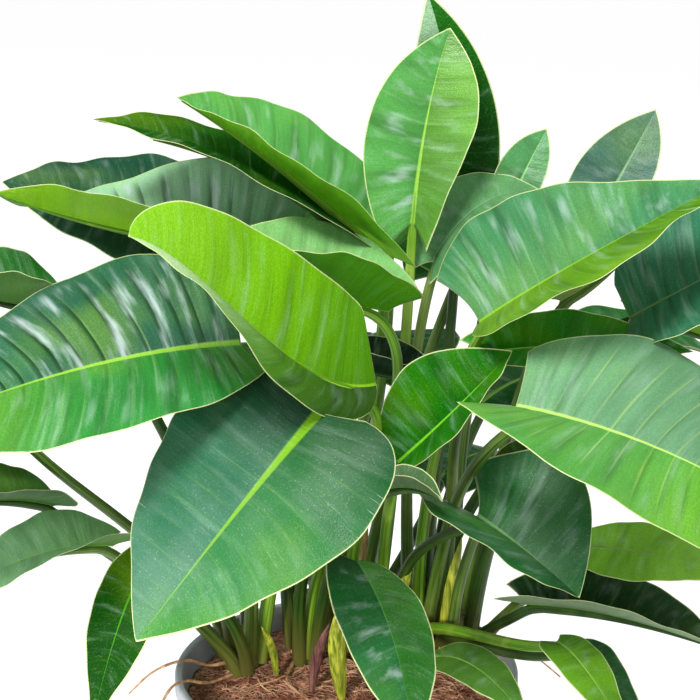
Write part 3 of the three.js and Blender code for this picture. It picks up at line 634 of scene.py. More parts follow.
# %% [markdown]
# ## Stalks that run on as midribs
# A stalk leaves its stem with a broad clasping base, rises, thins, and bends over under the blade. There it
# doesn't end: it runs on along the underside as the midrib, thinner and thinner, to the tip. So one tube
# makes both. It follows a path, so Geometry Nodes make it: the path's points carry the girth, and a round
# section with a shallow groove is swept along them. The tube keeps how far round and how far along each of
# its points lies, for the stripes of its finish. The tree is run on a throwaway object, and only its mesh
# is kept.

# %% A tube along a path
def new_tree(name, inputs, output):
    """An empty Geometry Nodes tree. inputs maps each input's name to its kind and its standard value."""
    tree = bpy.data.node_groups.new(name, "GeometryNodeTree")
    for label, (kind, standard) in inputs.items():
        socket = tree.interface.new_socket(label, in_out="INPUT", socket_type="NodeSocket" + kind)
        if standard is not None:
            socket.default_value = standard
    tree.interface.new_socket(output, in_out="OUTPUT", socket_type="NodeSocketGeometry")
    return tree


def end_tree(tree, geometry, material, output):
    """Turns what a tree has made into one real mesh with its material."""
    real = node(tree, "GeometryNodeRealizeInstances", {"Geometry": geometry})
    painted = node(tree, "GeometryNodeSetMaterial", {"Geometry": real.outputs[0], "Material": material})
    node(tree, "NodeGroupOutput", {output: painted.outputs[0]})


def tube_tree(name, sides, groove, material):
    """Geometry Nodes that sweep a grooved round section along a path whose points carry their girth."""
    tree = new_tree(name, {"Path": ("Geometry", None), "Sides": ("Int", sides), "Groove": ("Float", groove)},
                    "Tube")
    given = node(tree, "NodeGroupInput")
    line = node(tree, "GeometryNodeMeshToCurve", {"Mesh": given.outputs["Path"]})
    girth = node(tree, "GeometryNodeInputNamedAttribute", {"Name": "girth"}, data_type="FLOAT")
    ring = node(tree, "GeometryNodeCurvePrimitiveCircle",
                {"Resolution": given.outputs["Sides"], "Radius": 1.0})
    place = node(tree, "GeometryNodeInputPosition")
    parts = node(tree, "ShaderNodeSeparateXYZ", {0: place.outputs[0]})
    front = maths(tree, "MAXIMUM", parts.outputs["X"], 0.0)
    depth = maths(tree, "MULTIPLY", maths(tree, "POWER", front, 6.0), given.outputs["Groove"])
    pulled = node(tree, "ShaderNodeVectorMath",
                  {0: place.outputs[0], "Scale": maths(tree, "SUBTRACT", 1.0, depth)}, operation="SCALE")
    ring = node(tree, "GeometryNodeSetPosition",
                {"Geometry": ring.outputs[0], "Position": pulled.outputs[0]})
    turn = node(tree, "GeometryNodeSplineParameter")
    ring = node(tree, "GeometryNodeStoreNamedAttribute",
                {"Geometry": ring.outputs[0], "Name": "round", "Value": turn.outputs["Factor"]},
                data_type="FLOAT")
    tube = node(tree, "GeometryNodeCurveToMesh",
                {"Curve": line.outputs[0], "Profile Curve": ring.outputs[0],
                 "Scale": girth.outputs["Attribute"], "Fill Caps": True})
    smooth = node(tree, "GeometryNodeSetShadeSmooth", {"Geometry": tube.outputs[0]})
    end_tree(tree, smooth.outputs[0], material, "Tube")
    return tree


# %% From a tree to a plain mesh
def evaluated_mesh(carrier):
    """The plain mesh that an object's modifiers make of it. The carrier is removed."""
    graph = bpy.context.evaluated_depsgraph_get()
    mesh = bpy.data.meshes.new_from_object(carrier.evaluated_get(graph))
    bpy.data.objects.remove(carrier)
    return mesh


def grow(name, mesh, tree, settings=None):
    """Runs a Geometry Nodes tree over a mesh. settings maps an input's name to its value."""
    carrier = bpy.data.objects.new(name, mesh)
    bpy.context.collection.objects.link(carrier)
    modifier = carrier.modifiers.new("grow", "NODES")
    modifier.node_group = tree
    for item in tree.interface.items_tree:
        if settings and item.name in settings:
            modifier[item.identifier] = settings[item.name]
    return evaluated_mesh(carrier)


def path_mesh(name, points, girth):
    """A line through points in millimetres, carrying the tube's radius and the length run so far."""
    mesh = bpy.data.meshes.new(name)
    links = [(i, i + 1) for i in range(len(points) - 1)]
    mesh.from_pydata((np.array(points) * MM).tolist(), links, [])
    run = np.concatenate([[0], np.cumsum(np.linalg.norm(np.diff(points, axis=0), axis=1))])
    for label, values in (("girth", np.array(girth) * MM), ("along", run * MM)):
        held = mesh.attributes.new(label, "FLOAT", "POINT")
        held.data.foreach_set("value", values.astype(np.float32))
    return mesh


# %% [markdown]
# ## Where a stalk runs
# The base clasps the stem at the height of its tier and leaves it at the bearing of its row. The stalk
# leans out and up, and arrives under the blade along the midrib: four points say that, so a Bezier curve
# draws it. The rest of the path keeps just under the upper face. A few rounds of averaging smooth the join
# of the two.

# %% Path of a stalk
STEM_RADIUS = 12
STEM_TAPER = 0.8
STEM_FOOT = 205
GAP = 0.35
KEEL_THICK = 3.2
STALK_RADIUS = 4.3
STALK_POINTS = 26
RISE_PULL = 0.4  # of the span, how long the stalk keeps its first direction
ARRIVE_PULL = 0.25
ARRIVE_STEEP = 0.8
BASE_GIRTH = 6.2
BASE_DROP = 24  # how far the base reaches down its stem, but not below BASE_LOWEST
BASE_LOWEST = 246
CLASP_IN = 2.5
CLASP_SWELL = 1.2
RIB_GIRTH = 0.86  # of the stalk's radius, where it becomes the midrib
TIP_GIRTH = 0.35
TIP_END = 0.97
SMOOTHINGS = 6


def stem_radius(stem, height):
    climb = (height - STEM_FOOT) / (stem["top"] - STEM_FOOT)
    return STEM_RADIUS * (1 - (1 - STEM_TAPER) * climb)


def stalk_path(leaf):
    """Points and girths from the clasping base, along the stalk, and on under the blade as its midrib."""
    stem, tier = STEMS[leaf["stem"]], TIERS[leaf["tier"]]
    lean = tier["lean"]
    radius = leaf.get("stalk", STALK_RADIUS)
    turn = math.radians(leaf["at"])
    out = np.array([math.cos(turn), math.sin(turn), 0])
    beside = 0.93 * radius / math.hypot(1, lean)
    foot = np.array([stem["x"], stem["y"], tier["start"]], float)
    start = foot + out * (stem_radius(stem, tier["start"]) + beside + GAP)
    place, along, _, normal = rib_frame(leaf, np.array(STALK_JOIN))
    end = place - normal * KEEL_THICK / 3
    span = np.linalg.norm(end - start)
    rising = start + unit(UP + out * lean) * span * RISE_PULL
    arriving = end - unit(along + UP * leaf.get("drop", ARRIVE_STEEP)) * span * ARRIVE_PULL
    s = np.linspace(0, 1, STALK_POINTS)[:, None]
    rise = ((1 - s) ** 3 * start + 3 * s * (1 - s) ** 2 * rising
            + 3 * s ** 2 * (1 - s) * arriving + s ** 3 * end)
    below = 1 - s[:, 0]
    rise_girth = radius * (1.0 + 0.25 * below) + (BASE_GIRTH - radius) * below ** 6
    clasp = start - UP * min(BASE_DROP, tier["start"] - BASE_LOWEST) - out * CLASP_IN
    t = np.linspace(STALK_JOIN + 0.05, TIP_END, STALK_POINTS)
    under_rib, _, _, under_normal = rib_frame(leaf, t)
    rib_girth = radius * RIB_GIRTH * (1 - (t - STALK_JOIN) / (1 - STALK_JOIN)) ** 0.9 + TIP_GIRTH
    under_rib = under_rib - under_normal * (rib_girth * 0.95 + CHANNEL_DEPTH * (1 - t) + 0.25)[:, None]
    points = np.concatenate([[clasp], rise, under_rib])
    girth = np.concatenate([[BASE_GIRTH + CLASP_SWELL], rise_girth, rib_girth])
    for _ in range(SMOOTHINGS):
        points[1:-1] = points[1:-1] / 2 + (points[:-2] + points[2:]) / 4
    return points, girth


# %% [markdown]
# ## Finish of a leaf
# Wax makes the upper face shiny, and light also passes through the thin blade, so the shader is a glossy
# surface mixed with some translucency. Its colour is built up in layers, one over another, and each layer
# reads a place on the leaf: u and v from the UV map, the distances from midrib and margin, or Object
# coordinates for what isn't tied to the veins. Every leaf gets its own material, because its number of
# veins and its colours are its own. A few helpers keep a layer to a line or two.

# %% Helpers for layered colour
def blend_colour(first, second, share):
    return tuple(a + (b - a) * share for a, b in zip(first, second))


def stretched_noise(tree, source, scale, detail=3.0):
    """Noise with its own scale along each axis, drawn out along the axis whose scale is small."""
    mapping = node(tree, "ShaderNodeMapping", {"Vector": source, "Scale": scale})
    return node(tree, "ShaderNodeTexNoise",
                {"Vector": mapping.outputs[0], "Scale": 1.0, "Detail": detail}).outputs["Fac"]


def even_noise(tree, source, scale, detail=3.0):
    return stretched_noise(tree, source, (scale, scale, scale), detail)


def band(tree, value, low, high, least=0.0, most=1.0):
    """Eases from least to most as the value goes from low to high."""
    made = node(tree, "ShaderNodeMapRange",
                {"Value": value, "From Min": low, "From Max": high, "To Min": least, "To Max": most},
                interpolation_type="SMOOTHSTEP")
    return made.outputs["Result"]


def layer(tree, share, below, above):
    """One colour over another, as far as share says."""
    made = node(tree, "ShaderNodeMix", {0: share, 6: below, 7: above}, data_type="RGBA")
    return made.outputs[2]


def read(tree, name):
    return node(tree, "ShaderNodeAttribute", attribute_name=name).outputs["Fac"]


def bumpy_skin(tree, paint, roughness, height, strength, depth):
    """A Principled shader over a bump. height is the bump's pattern, and depth how deep it is, in metres."""
    bump = node(tree, "ShaderNodeBump", {"Height": height, "Strength": strength, "Distance": depth})
    return node(tree, "ShaderNodeBsdfPrincipled",
                {"Base Color": paint, "Roughness": roughness, "Normal": bump.outputs[0]})


def with_glow(tree, skin, paint, share):
    """Mixes in light that comes through from the other side."""
    shine = node(tree, "ShaderNodeBsdfTranslucent", {"Color": paint})
    return node(tree, "ShaderNodeMixShader", {0: share, 1: skin.outputs[0], 2: shine.outputs[0]})


def show(tree, shader):
    node(tree, "ShaderNodeOutputMaterial", {"Surface": shader.outputs[0]})


# %% [markdown]
# ### The green
# Streaks run along the side veins, because the cells between them lie in rows, and broad patches are darker
# or yellower. Some leaves change towards the stalk or towards the tip: a darker foot is painted shade, and
# some pale tips are a painted highlight. Last comes a fine grain, without which a leaf looks like plastic.
# A face here is one side of a leaf: its tree and the sockets that its layers read.

# %% The green
DARK_GREEN = "04300e"
YELLOW_GREEN = "9ccc1e"
PALE_GREEN = "b4e0bc"
RIB_SEAM = 0.02
LEAF_ENDS = {"foot": (0.0, 0.5, 0.9, 0), "tip": (0.35, 0.85, 0, 0.85)}


def open_face(name, leaf, shades, bold):
    """A new material for a face. shades are its halves' colours, and bold is how strong its streaks are."""
    material = new_material(name)
    tree = material.node_tree
    uv = node(tree, "ShaderNodeUVMap", uv_map="leaf").outputs[0]
    u, v = node(tree, "ShaderNodeSeparateXYZ", {0: uv}).outputs[:2]
    own = node(tree, "ShaderNodeTexCoord").outputs["Object"]
    veins = leaf["veins"]
    return SimpleNamespace(
        material=material, tree=tree, leaf=leaf, shades=shades, bold=bold, uv=uv, u=u, v=v, own=own,
        right_half=band(tree, v, -RIB_SEAM, RIB_SEAM),
        rib_mm=read(tree, "rib_mm"), edge_mm=read(tree, "edge_mm"),
        bands=stretched_noise(tree, uv, (veins * 2.3, 0.7, 1)),
        fine=stretched_noise(tree, uv, (veins * 9, 1.2, 1)),
        patches=even_noise(tree, own, 9, 2.0), grain=even_noise(tree, own, 700, 2.0))


def half_colours(value):
    return [colour(code) for code in halves(value)]


def by_half(face, value):
    left, right = halves(value)
    return band(face.tree, face.v, -RIB_SEAM, RIB_SEAM, left, right)


def tinted(face, code, share):
    """The face's own colour, half by half, moved towards another colour."""
    left, right = (blend_colour(shade, colour(code), share) for shade in face.shades)
    return layer(face.tree, face.right_half, left, right)


def mottled_green(face):
    tree, bold = face.tree, face.bold
    streaks = stretched_noise(tree, face.uv, (face.leaf["veins"] * 1.1, 0.5, 1), 2.0)
    paint = tinted(face, DARK_GREEN, 0)
    for pattern, low, high, least, most, code, share in (
            (streaks, 0.28, 0.62, bold, 0, DARK_GREEN, 0.62),
            (face.patches, 0.3, 0.5, 0.7 * bold, 0, DARK_GREEN, 0.5),
            (face.patches, 0.48, 0.72, 0, 0.3 + 0.5 * bold, YELLOW_GREEN, 0.35),
            (face.bands, 0.52, 0.76, 0, bold, PALE_GREEN, 0.34),
            (face.fine, 0.5, 0.78, 0, 0.22, YELLOW_GREEN, 0.3)):
        paint = layer(tree, band(tree, pattern, low, high, least, most), paint, tinted(face, code, share))
    return paint


# Another colour near the stalk or the tip, where a row names one: a darker foot is painted shade, and the
# pale tips of leaf_young_lime and leaf_top_behind are painted highlights.
def shaded_ends(face, paint):
    for end, (low, high, least, most) in LEAF_ENDS.items():
        if end in face.leaf:
            left, right = half_colours(face.leaf[end])
            shade = layer(face.tree, face.right_half, left, right)
            paint = layer(face.tree, band(face.tree, face.u, low, high, least, most), paint, shade)
    return paint


def grained(face, paint):
    tree = face.tree
    paint = layer(tree, band(tree, face.grain, 0.4, 0.62, 0.3, 0), paint, tinted(face, DARK_GREEN, 0.5))
    return layer(tree, band(tree, face.grain, 0.55, 0.75, 0, 0.16), paint, tinted(face, PALE_GREEN, 0.4))


# %% [markdown]
# ### The veins
# A soft shadow lies on one side of every side vein, where the blade dips into its crease, and a pale gleam
# on the swellings between them, where the wax mirrors the lamps. The relief alone shows them only where a
# lamp grazes the leaf, so both are also painted: a painted shadow beside each vein and a painted highlight
# between them. The side veins are thin pale lines. The midrib is a broad yellow-green band that thins and
# fades to the tip, and the margin is a cream line.

# %% The veins
MARGIN = colour("dfe6a8")
# Colour of the painted highlight between the side veins.
PAINTED_GLEAM = colour("deeef2")
RIB_END = 1.06
RIB_TAPER = 1.4


def vein_phase(face):
    """Counts the side veins from stalk to tip: a whole number lies on a vein."""
    wobble = maths(face.tree, "MULTIPLY", face.fine, 0.12)
    return maths(face.tree, "ADD", maths(face.tree, "MULTIPLY", face.u, face.leaf["veins"]), wobble)


# Painted shadow: a dark band on one side of every side vein, fading out at the margin and in patches.
def painted_crease_shadow(face, paint):
    tree = face.tree
    saw = maths(tree, "FRACT", vein_phase(face))
    crease_shade = maths(tree, "MULTIPLY", band(tree, saw, 0.02, 0.34, 1, 0), band(tree, face.edge_mm, 3, 26))
    crease_shade = maths(tree, "MULTIPLY", crease_shade, band(tree, face.patches, 0.36, 0.56))
    crease_shade = maths(tree, "MULTIPLY", crease_shade, by_half(face, face.leaf["crease_shade"]))
    return layer(tree, crease_shade, paint, tinted(face, DARK_GREEN, 0.85))


# Painted highlight: pale streaks drawn out along the side veins, fading out at the margin, for the lamps
# mirrored in the wax.
def painted_gleam(face, paint):
    tree = face.tree
    gleam = stretched_noise(tree, face.uv, (face.leaf["veins"] * 1.4, 1.3, 1))
    gleam = maths(tree, "MULTIPLY", band(tree, gleam, 0.5, 0.74), by_half(face, face.leaf["painted_sheen"]))
    return layer(tree, maths(tree, "MULTIPLY", gleam, band(tree, face.edge_mm, 2, 20)), paint, PAINTED_GLEAM)


def veined(face, paint):
    """Side veins, midrib and margin."""
    tree, vein = face.tree, colour(face.leaf["vein"])
    beat = maths(tree, "PINGPONG", vein_phase(face), 0.5)
    lines = band(tree, beat, 0.015, 0.06, face.leaf["veining"], 0)
    lines = maths(tree, "MULTIPLY", lines, band(tree, face.edge_mm, 4, 30))
    lines = maths(tree, "MULTIPLY", lines, band(tree, face.bands, 0.35, 0.65))
    paint = layer(tree, lines, paint, vein)
    to_tip = maths(tree, "SUBTRACT", RIB_END, face.u)
    reach = maths(tree, "MULTIPLY", maths(tree, "POWER", to_tip, RIB_TAPER), face.leaf["rib_half"])
    across = maths(tree, "DIVIDE", face.rib_mm, reach)
    rib = maths(tree, "MULTIPLY", band(tree, across, 0.6, 1.25, 0.95, 0), band(tree, to_tip, 0, 0.7, 0.45, 1))
    paint = layer(tree, rib, paint, vein)
    return layer(tree, band(tree, face.edge_mm, 0.4, 1.3, 0.8, 0), paint, MARGIN)


# %% [markdown]
# ### Dust and wax
# Old leaves carry dust: specks and scratches that gather in patches, and a thin film over them. Dust lies
# on the wax, so it also dulls it. The underside has the same recipe without the painted crease shadow, the
# painted gleam and the dust, and with half the gloss. The light that comes through a leaf is yellower than
# the leaf.

# %% Dust and wax
DUST = colour("c9d6cc")
UNDER_SHARE = 0.5
UNDER_DULLER = 0.14


def dusty(face, paint, roughness):
    tree = face.tree
    specks = even_noise(tree, face.own, 640, 2.0)
    marks = even_noise(tree, face.own, 16, 4.0)
    scratches = stretched_noise(tree, face.uv, (face.leaf["veins"] * 26, 2.4, 1), 2.0)
    dust = maths(tree, "MULTIPLY", band(tree, specks, 0.6, 0.74), band(tree, marks, 0.36, 0.7, 0, 0.7))
    dust = maths(tree, "MAXIMUM", dust, band(tree, scratches, 0.69, 0.76))
    film = band(tree, marks, 0.35, 0.8, 0, 0.16)
    dust = maths(tree, "MULTIPLY", maths(tree, "MAXIMUM", dust, film), face.leaf["dust"])
    duller = maths(tree, "ADD", roughness, maths(tree, "MULTIPLY", dust, 0.35))
    return layer(tree, dust, paint, DUST), duller


def leaf_skin(name, leaf, shades, is_top):
    """Material of one face of a leaf. shades are the colours of its left and right halves."""
    share = 1 if is_top else UNDER_SHARE
    face = open_face(name, leaf, shades, share * leaf["streak"])
    tree = face.tree
    paint = mottled_green(face)
    if is_top:
        paint = shaded_ends(face, paint)
    paint = grained(face, paint)
    # Painted shadow beside the side veins, on the upper face only.
    if is_top and leaf["crease_shade"]:
        paint = painted_crease_shadow(face, paint)
    # Painted highlight between the side veins, on the upper face only.
    if is_top and leaf["painted_sheen"]:
        paint = painted_gleam(face, paint)
    paint = veined(face, paint)
    roughness = band(tree, face.bands, 0.3, 0.7, 0.3, 0.46)
    if is_top and leaf["dust"]:
        paint, roughness = dusty(face, paint, roughness)
    if not is_top:
        roughness = maths(tree, "ADD", roughness, UNDER_DULLER)
    fine_grain = maths(tree, "ADD", face.fine, face.grain)
    swell = maths(tree, "ADD", maths(tree, "MULTIPLY", face.bands, 4.0), fine_grain)
    skin = bumpy_skin(tree, paint, roughness, swell, 0.5, 0.0006)
    skin.inputs["Specular IOR Level"].default_value = share * leaf["gloss"]
    through_light = layer(tree, 0.55, paint, tinted(face, YELLOW_GREEN, 0.7))
    show(tree, with_glow(tree, skin, through_light, leaf["glow"]))
    return face.material


# %% [markdown]
# ## Finish of stalks, margins and other small parts
# Stalks are green with fine lengthwise stripes, browner at the foot. Stripes drawn out along Z would turn
# into rings on a stalk that leans, so these read how far round and how far along the tube they lie. The
# margin is a translucent cream edge, worn brown in places. One recipe makes all the dry and fibrous
# finishes: two colours drawn out along the piece, with a bump of the same grain.

# %% Fibrous finish
def fibrous(name, dark, light, grain, stripes, roughness=0.5, bump_depth=0.0006):
    """A striped organic finish. grain is the scale of its blotches, and stripes that of its stripes."""
    material = new_material(name)
    tree = material.node_tree
    own = node(tree, "ShaderNodeTexCoord").outputs["Object"]
    stripe = stretched_noise(tree, own, stripes, 4.0)
    blotch = even_noise(tree, own, grain)
    share = maths(tree, "MULTIPLY", band(tree, stripe, 0.32, 0.7), band(tree, blotch, 0.25, 0.75, 0.45, 1))
    paint = layer(tree, share, colour(dark), colour(light))
    show(tree, bumpy_skin(tree, paint, roughness, stripe, 0.5, bump_depth))
    return material


# %% Stalks and margins
FOOT_BROWN = colour("6a6230")
FOOT_HEIGHTS = (0.25, 0.33)


def stalk_finish(name, shade, stripe_tone, blotch_tone):
    """Green with stripes that run along the stalk, and brown at the foot, where it clasps its stem."""
    material = new_material(name)
    tree = material.node_tree
    own = node(tree, "ShaderNodeTexCoord").outputs["Object"]
    height = node(tree, "ShaderNodeSeparateXYZ", {0: own}).outputs[2]
    turn = maths(tree, "MULTIPLY", read(tree, "round"), 2 * math.pi)
    across, depth = maths(tree, "COSINE", turn), maths(tree, "SINE", turn)
    place = node(tree, "ShaderNodeCombineXYZ", {0: across, 1: depth, 2: read(tree, "along")}).outputs[0]
    stripe = stretched_noise(tree, place, (2.6, 2.6, 7))
    thread = stretched_noise(tree, place, (9, 9, 12), 2.0)
    blotch = stretched_noise(tree, own, (26, 26, 12))
    paint = layer(tree, band(tree, stripe, 0.36, 0.64), colour(shade), colour(stripe_tone))
    paint = layer(tree, band(tree, thread, 0.5, 0.72, 0, 0.5), paint, colour(blotch_tone))
    paint = layer(tree, band(tree, blotch, 0.5, 0.75, 0, 0.6), paint, colour(blotch_tone))
    paint = layer(tree, band(tree, height, *FOOT_HEIGHTS, 0.75, 0), paint, FOOT_BROWN)
    show(tree, bumpy_skin(tree, paint, 0.42, thread, 0.4, 0.0005))
    return material


def margin_finish():
    material = new_material("leaf_margin")
    tree = material.node_tree
    own = node(tree, "ShaderNodeTexCoord").outputs["Object"]
    worn = even_noise(tree, own, 60)
    paint = layer(tree, band(tree, worn, 0.52, 0.78, 0, 0.5), MARGIN, colour("a8904e"))
    skin = node(tree, "ShaderNodeBsdfPrincipled", {"Base Color": paint, "Roughness": 0.45})
    show(tree, with_glow(tree, skin, paint, 0.3))
    return material


stalk_paints = {
    "bright": stalk_finish("stalk_bright", "3c6d0c", "74a824", "a8c84c"),
    "olive": stalk_finish("stalk_olive", "2c4a10", "5c8030", "8fa552"),
    "dark": stalk_finish("stalk_dark", "14300a", "305a18", "547434"),
}
margin_paint = margin_finish()
print("finishes:", list(stalk_paints), margin_paint.name)

# %% [markdown]
# ## Making the leaves
# Each leaf is its blade and its stalk in one mesh, as one grown piece, and it stands for its node in the
# frame. The tube's faces take the stalk's slot. Corners that fall on one point are merged, which closes the
# blade's tip. Every fine piece of this file rides on the one body of the frame, root.

# %% From meshes to pieces
MERGE_WITHIN = 2e-6


def plain_mesh(name, work):
    """Writes a bmesh out as a mesh, and frees it."""
    made = bpy.data.meshes.new(name)
    work.to_mesh(made)
    work.free()
    return made


def join_meshes(name, parts):
    """One mesh of several, each with the slot number that its faces take, or None to keep theirs."""
    joined = bmesh.new()
    for mesh, slot_number in parts:
        before = len(joined.faces)
        joined.from_mesh(mesh)
        joined.faces.ensure_lookup_table()
        if slot_number is not None:
            for face in joined.faces[before:]:
                face.material_index = slot_number
    bmesh.ops.remove_doubles(joined, verts=joined.verts, dist=MERGE_WITHIN)
    return plain_mesh(name, joined)


def finish_piece(name, mesh, replaced=()):
    """Makes the object of a finished mesh, and ties it to the frame."""
    for polygon in mesh.polygons:
        polygon.use_smooth = True
    piece = bpy.data.objects.new(name, mesh)
    bpy.context.collection.objects.link(piece)
    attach(piece, "root")
    if replaced:
        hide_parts(*replaced)
    return piece


# %% Leaves
STALK_SIDES = 12
STALK_GROOVE = 0.14
RIB_LEAST = 1.2  # half the midrib's painted width, and what it gains with the width of the leaf
RIB_PER_WIDTH = 0.019
FEWEST_VEINS = 6

stalk_tree = tube_tree("stalk_tube", STALK_SIDES, STALK_GROOVE, stalk_paints["olive"])
triangles = 0
for seed, row in enumerate(LEAVES):
    leaf = {**PLAIN_LOOK, **LOOKS[row["kind"]], **row}
    leaf["length"] = leaf_length(leaf)
    leaf["veins"] = max(FEWEST_VEINS, round(leaf["length"] / VEIN_SPACING))
    leaf["rib_half"] = leaf["midrib"] * (RIB_LEAST + RIB_PER_WIDTH * leaf["width"])
    skin_mesh = blade_mesh(leaf, seed)
    points, girth = stalk_path(leaf)
    stalk = grow(leaf["name"] + "_stalk", path_mesh("stalk_path", points, girth), stalk_tree)
    whole = join_meshes(leaf["name"], [(skin_mesh, None), (stalk, SLOT_STALK)])
    whole.materials.append(leaf_skin(leaf["name"] + "_top", leaf, half_colours(leaf["top"]), True))
    whole.materials.append(leaf_skin(leaf["name"] + "_under", leaf, half_colours(leaf["under"]), False))
    whole.materials.append(margin_paint)
    whole.materials.append(stalk_paints[STALK_OF_LOOK[leaf["kind"]]])
    finish_piece(leaf["name"] + "_blade", whole, [leaf["name"]])
    triangles += sum(len(p.vertices) - 2 for p in whole.polygons)
print("leaf triangles:", triangles)

# %% [markdown]
# ## The pot
# A nursery pot is moulded from thin grey plastic: a tapered cup with a rolled rim, a small foot and drain
# holes in its floor. A lathe profile makes it, turned in many small steps, and its roundings are arcs. The
# profile starts on the axis under the floor, runs up the outside, over the lip and down the inside, and
# ends on the axis again, so the wall is closed. The holes are cut by a Boolean modifier, which leaves clean
# edges.

# %% Lathe
def arc(centre, radius, first, last, steps):
    """Points of an arc in the lathe's plane, from one angle in degrees to another."""
    turns = np.radians(np.linspace(first, last, steps + 1))
    return [(centre[0] + radius * math.cos(a), centre[1] + radius * math.sin(a)) for a in turns]


def round_the_axis(sectors):
    return [2 * math.pi * k / sectors for k in range(sectors)]


def level_ring(work, radius, height, turns):
    return [work.verts.new((radius * MM * math.cos(a), radius * MM * math.sin(a), height * MM))
            for a in turns]


def close_rings(work, foot, rings, crest):
    """Faces between rings of corners, and a fan about a pole at both ends."""
    count = len(rings[0])
    for k in range(count):
        following = (k + 1) % count
        work.faces.new((foot, rings[0][following], rings[0][k]))
        work.faces.new((crest, rings[-1][k], rings[-1][following]))
        for low, high in zip(rings, rings[1:]):
            work.faces.new((low[k], low[following], high[following], high[k]))
    bmesh.ops.recalc_face_normals(work, faces=work.faces)


def lathe(name, profile, sectors):
    """Turns a profile of (radius, height) in millimetres about Z. Its two end points lie on the axis."""
    work = bmesh.new()
    foot, crest = (work.verts.new((0, 0, z * MM)) for _, z in (profile[0], profile[-1]))
    turns = round_the_axis(sectors)
    rings = [level_ring(work, radius, height, turns) for radius, height in profile[1:-1]]
    close_rings(work, foot, rings, crest)
    return plain_mesh(name, work)


# %% Profile of the pot
POT_SECTORS = 144
POT_HEIGHT = 270
RIM_RADIUS = 150
RIM_BAND = 16
RIM_STEP = 4.5
BASE_RADIUS = 106
WALL = 2.6
POT_FLOOR = 3
WALL_HEIGHTS = (40, 90, 140, 190, 235)
RIM_INSIDE = 262
FOOT_WIDTH = 9
FOOT_HOLLOW = 1.2
FOOT_INNER_ROUND = 1.5
FOOT_ROUND = 4
BAND_ROUND = 1.6
LIP_ROUND = 2.8
LIP_INNER_ROUND = 2.4


def pot_radius(height):
    return BASE_RADIUS + (RIM_RADIUS - RIM_STEP - BASE_RADIUS) * height / POT_HEIGHT


foot_inside = BASE_RADIUS - FOOT_WIDTH
band_foot = POT_HEIGHT - RIM_BAND
lip = POT_HEIGHT - LIP_ROUND
profile = [(0, FOOT_HOLLOW), (foot_inside, FOOT_HOLLOW)]
profile += arc((foot_inside + FOOT_INNER_ROUND, FOOT_INNER_ROUND), FOOT_INNER_ROUND, 180, 270, 4)
profile += arc((BASE_RADIUS - FOOT_ROUND, FOOT_ROUND), FOOT_ROUND, 270, 360, 6)
profile += [(pot_radius(z), z) for z in (*WALL_HEIGHTS, band_foot - 1)]
profile += arc((RIM_RADIUS - BAND_ROUND, band_foot + 2.2), BAND_ROUND, 270, 360, 4)
profile += arc((RIM_RADIUS - LIP_ROUND, lip), LIP_ROUND, 0, 90, 8)
profile += arc((pot_radius(POT_HEIGHT) - WALL + LIP_INNER_ROUND, lip), LIP_INNER_ROUND, 90, 180, 6)
profile += [(pot_radius(z) - WALL, z) for z in (RIM_INSIDE, *WALL_HEIGHTS[::-1], POT_FLOOR + 2)]
profile += [(pot_radius(POT_FLOOR) - WALL - 2, POT_FLOOR), (0, POT_FLOOR)]
pot_shell = lathe("pot_shell", profile, POT_SECTORS)
print("profile of the pot:", len(profile), "points")

# %% Drain holes
DRAIN_HOLES = 6
DRAIN_RADIUS = 6
DRAIN_CIRCLE = 68
DRAIN_SIDES = 24
DRILL_LENGTH = 12

drills = bmesh.new()
for turn in round_the_axis(DRAIN_HOLES):
    made = bmesh.ops.create_cone(drills, cap_ends=True, segments=DRAIN_SIDES, radius1=DRAIN_RADIUS * MM,
                                 radius2=DRAIN_RADIUS * MM, depth=DRILL_LENGTH * MM)
    offset = (DRAIN_CIRCLE * MM * math.cos(turn), DRAIN_CIRCLE * MM * math.sin(turn), 0)
    bmesh.ops.translate(drills, verts=made["verts"], vec=offset)
cutter = bpy.data.objects.new("drills", plain_mesh("drills", drills))
shell = bpy.data.objects.new("shell", pot_shell)
bpy.context.collection.objects.link(cutter)
bpy.context.collection.objects.link(shell)
cut = shell.modifiers.new("drain", "BOOLEAN")
cut.object = cutter
cut.solver = "EXACT"
pot_mesh = evaluated_mesh(shell)
bpy.data.objects.remove(cutter)
print("drain holes:", DRAIN_HOLES)

# %% Pot
SHARP_ANGLE = 50


def pot_finish():
    """Matte grey plastic: a fine grain, faint clouding, and dirt that has run down from the rim."""
    material = new_material("pot_plastic")
    tree = material.node_tree
    own = node(tree, "ShaderNodeTexCoord").outputs["Object"]
    cloud = stretched_noise(tree, own, (9, 9, 4), 4.0)
    grain = even_noise(tree, own, 900, 2.0)
    dirt = stretched_noise(tree, own, (46, 46, 9), 5.0)
    paint = layer(tree, band(tree, cloud, 0.3, 0.7), colour("989ea6"), colour("b4bac2"))
    paint = layer(tree, band(tree, dirt, 0.58, 0.85, 0, 0.3), paint, colour("6d6558"))
    show(tree, bumpy_skin(tree, paint, band(tree, cloud, 0.3, 0.7, 0.42, 0.56), grain, 0.3, 0.0003))
    return material


pot_mesh.materials.clear()
pot_mesh.materials.append(pot_finish())
pot = finish_piece("nursery_pot", pot_mesh, ["pot"])
pot.data.set_sharp_from_angle(angle=math.radians(SHARP_ANGLE))
print("pot faces:", len(pot.data.polygons))

# %% [markdown]
# ## The soil
# The pot is filled with coir, chopped coconut husk: a crumbly brown ground with loose fibres on it. The
# ground is a turned body whose top is pushed up and down by noise, in clumps and crumbs. The fibres are
# thousands of short bent strands. Geometry Nodes scatter them over the top with a fixed seed, away from the
# pot's wall, and a strand has only a few faces, because there are so many.

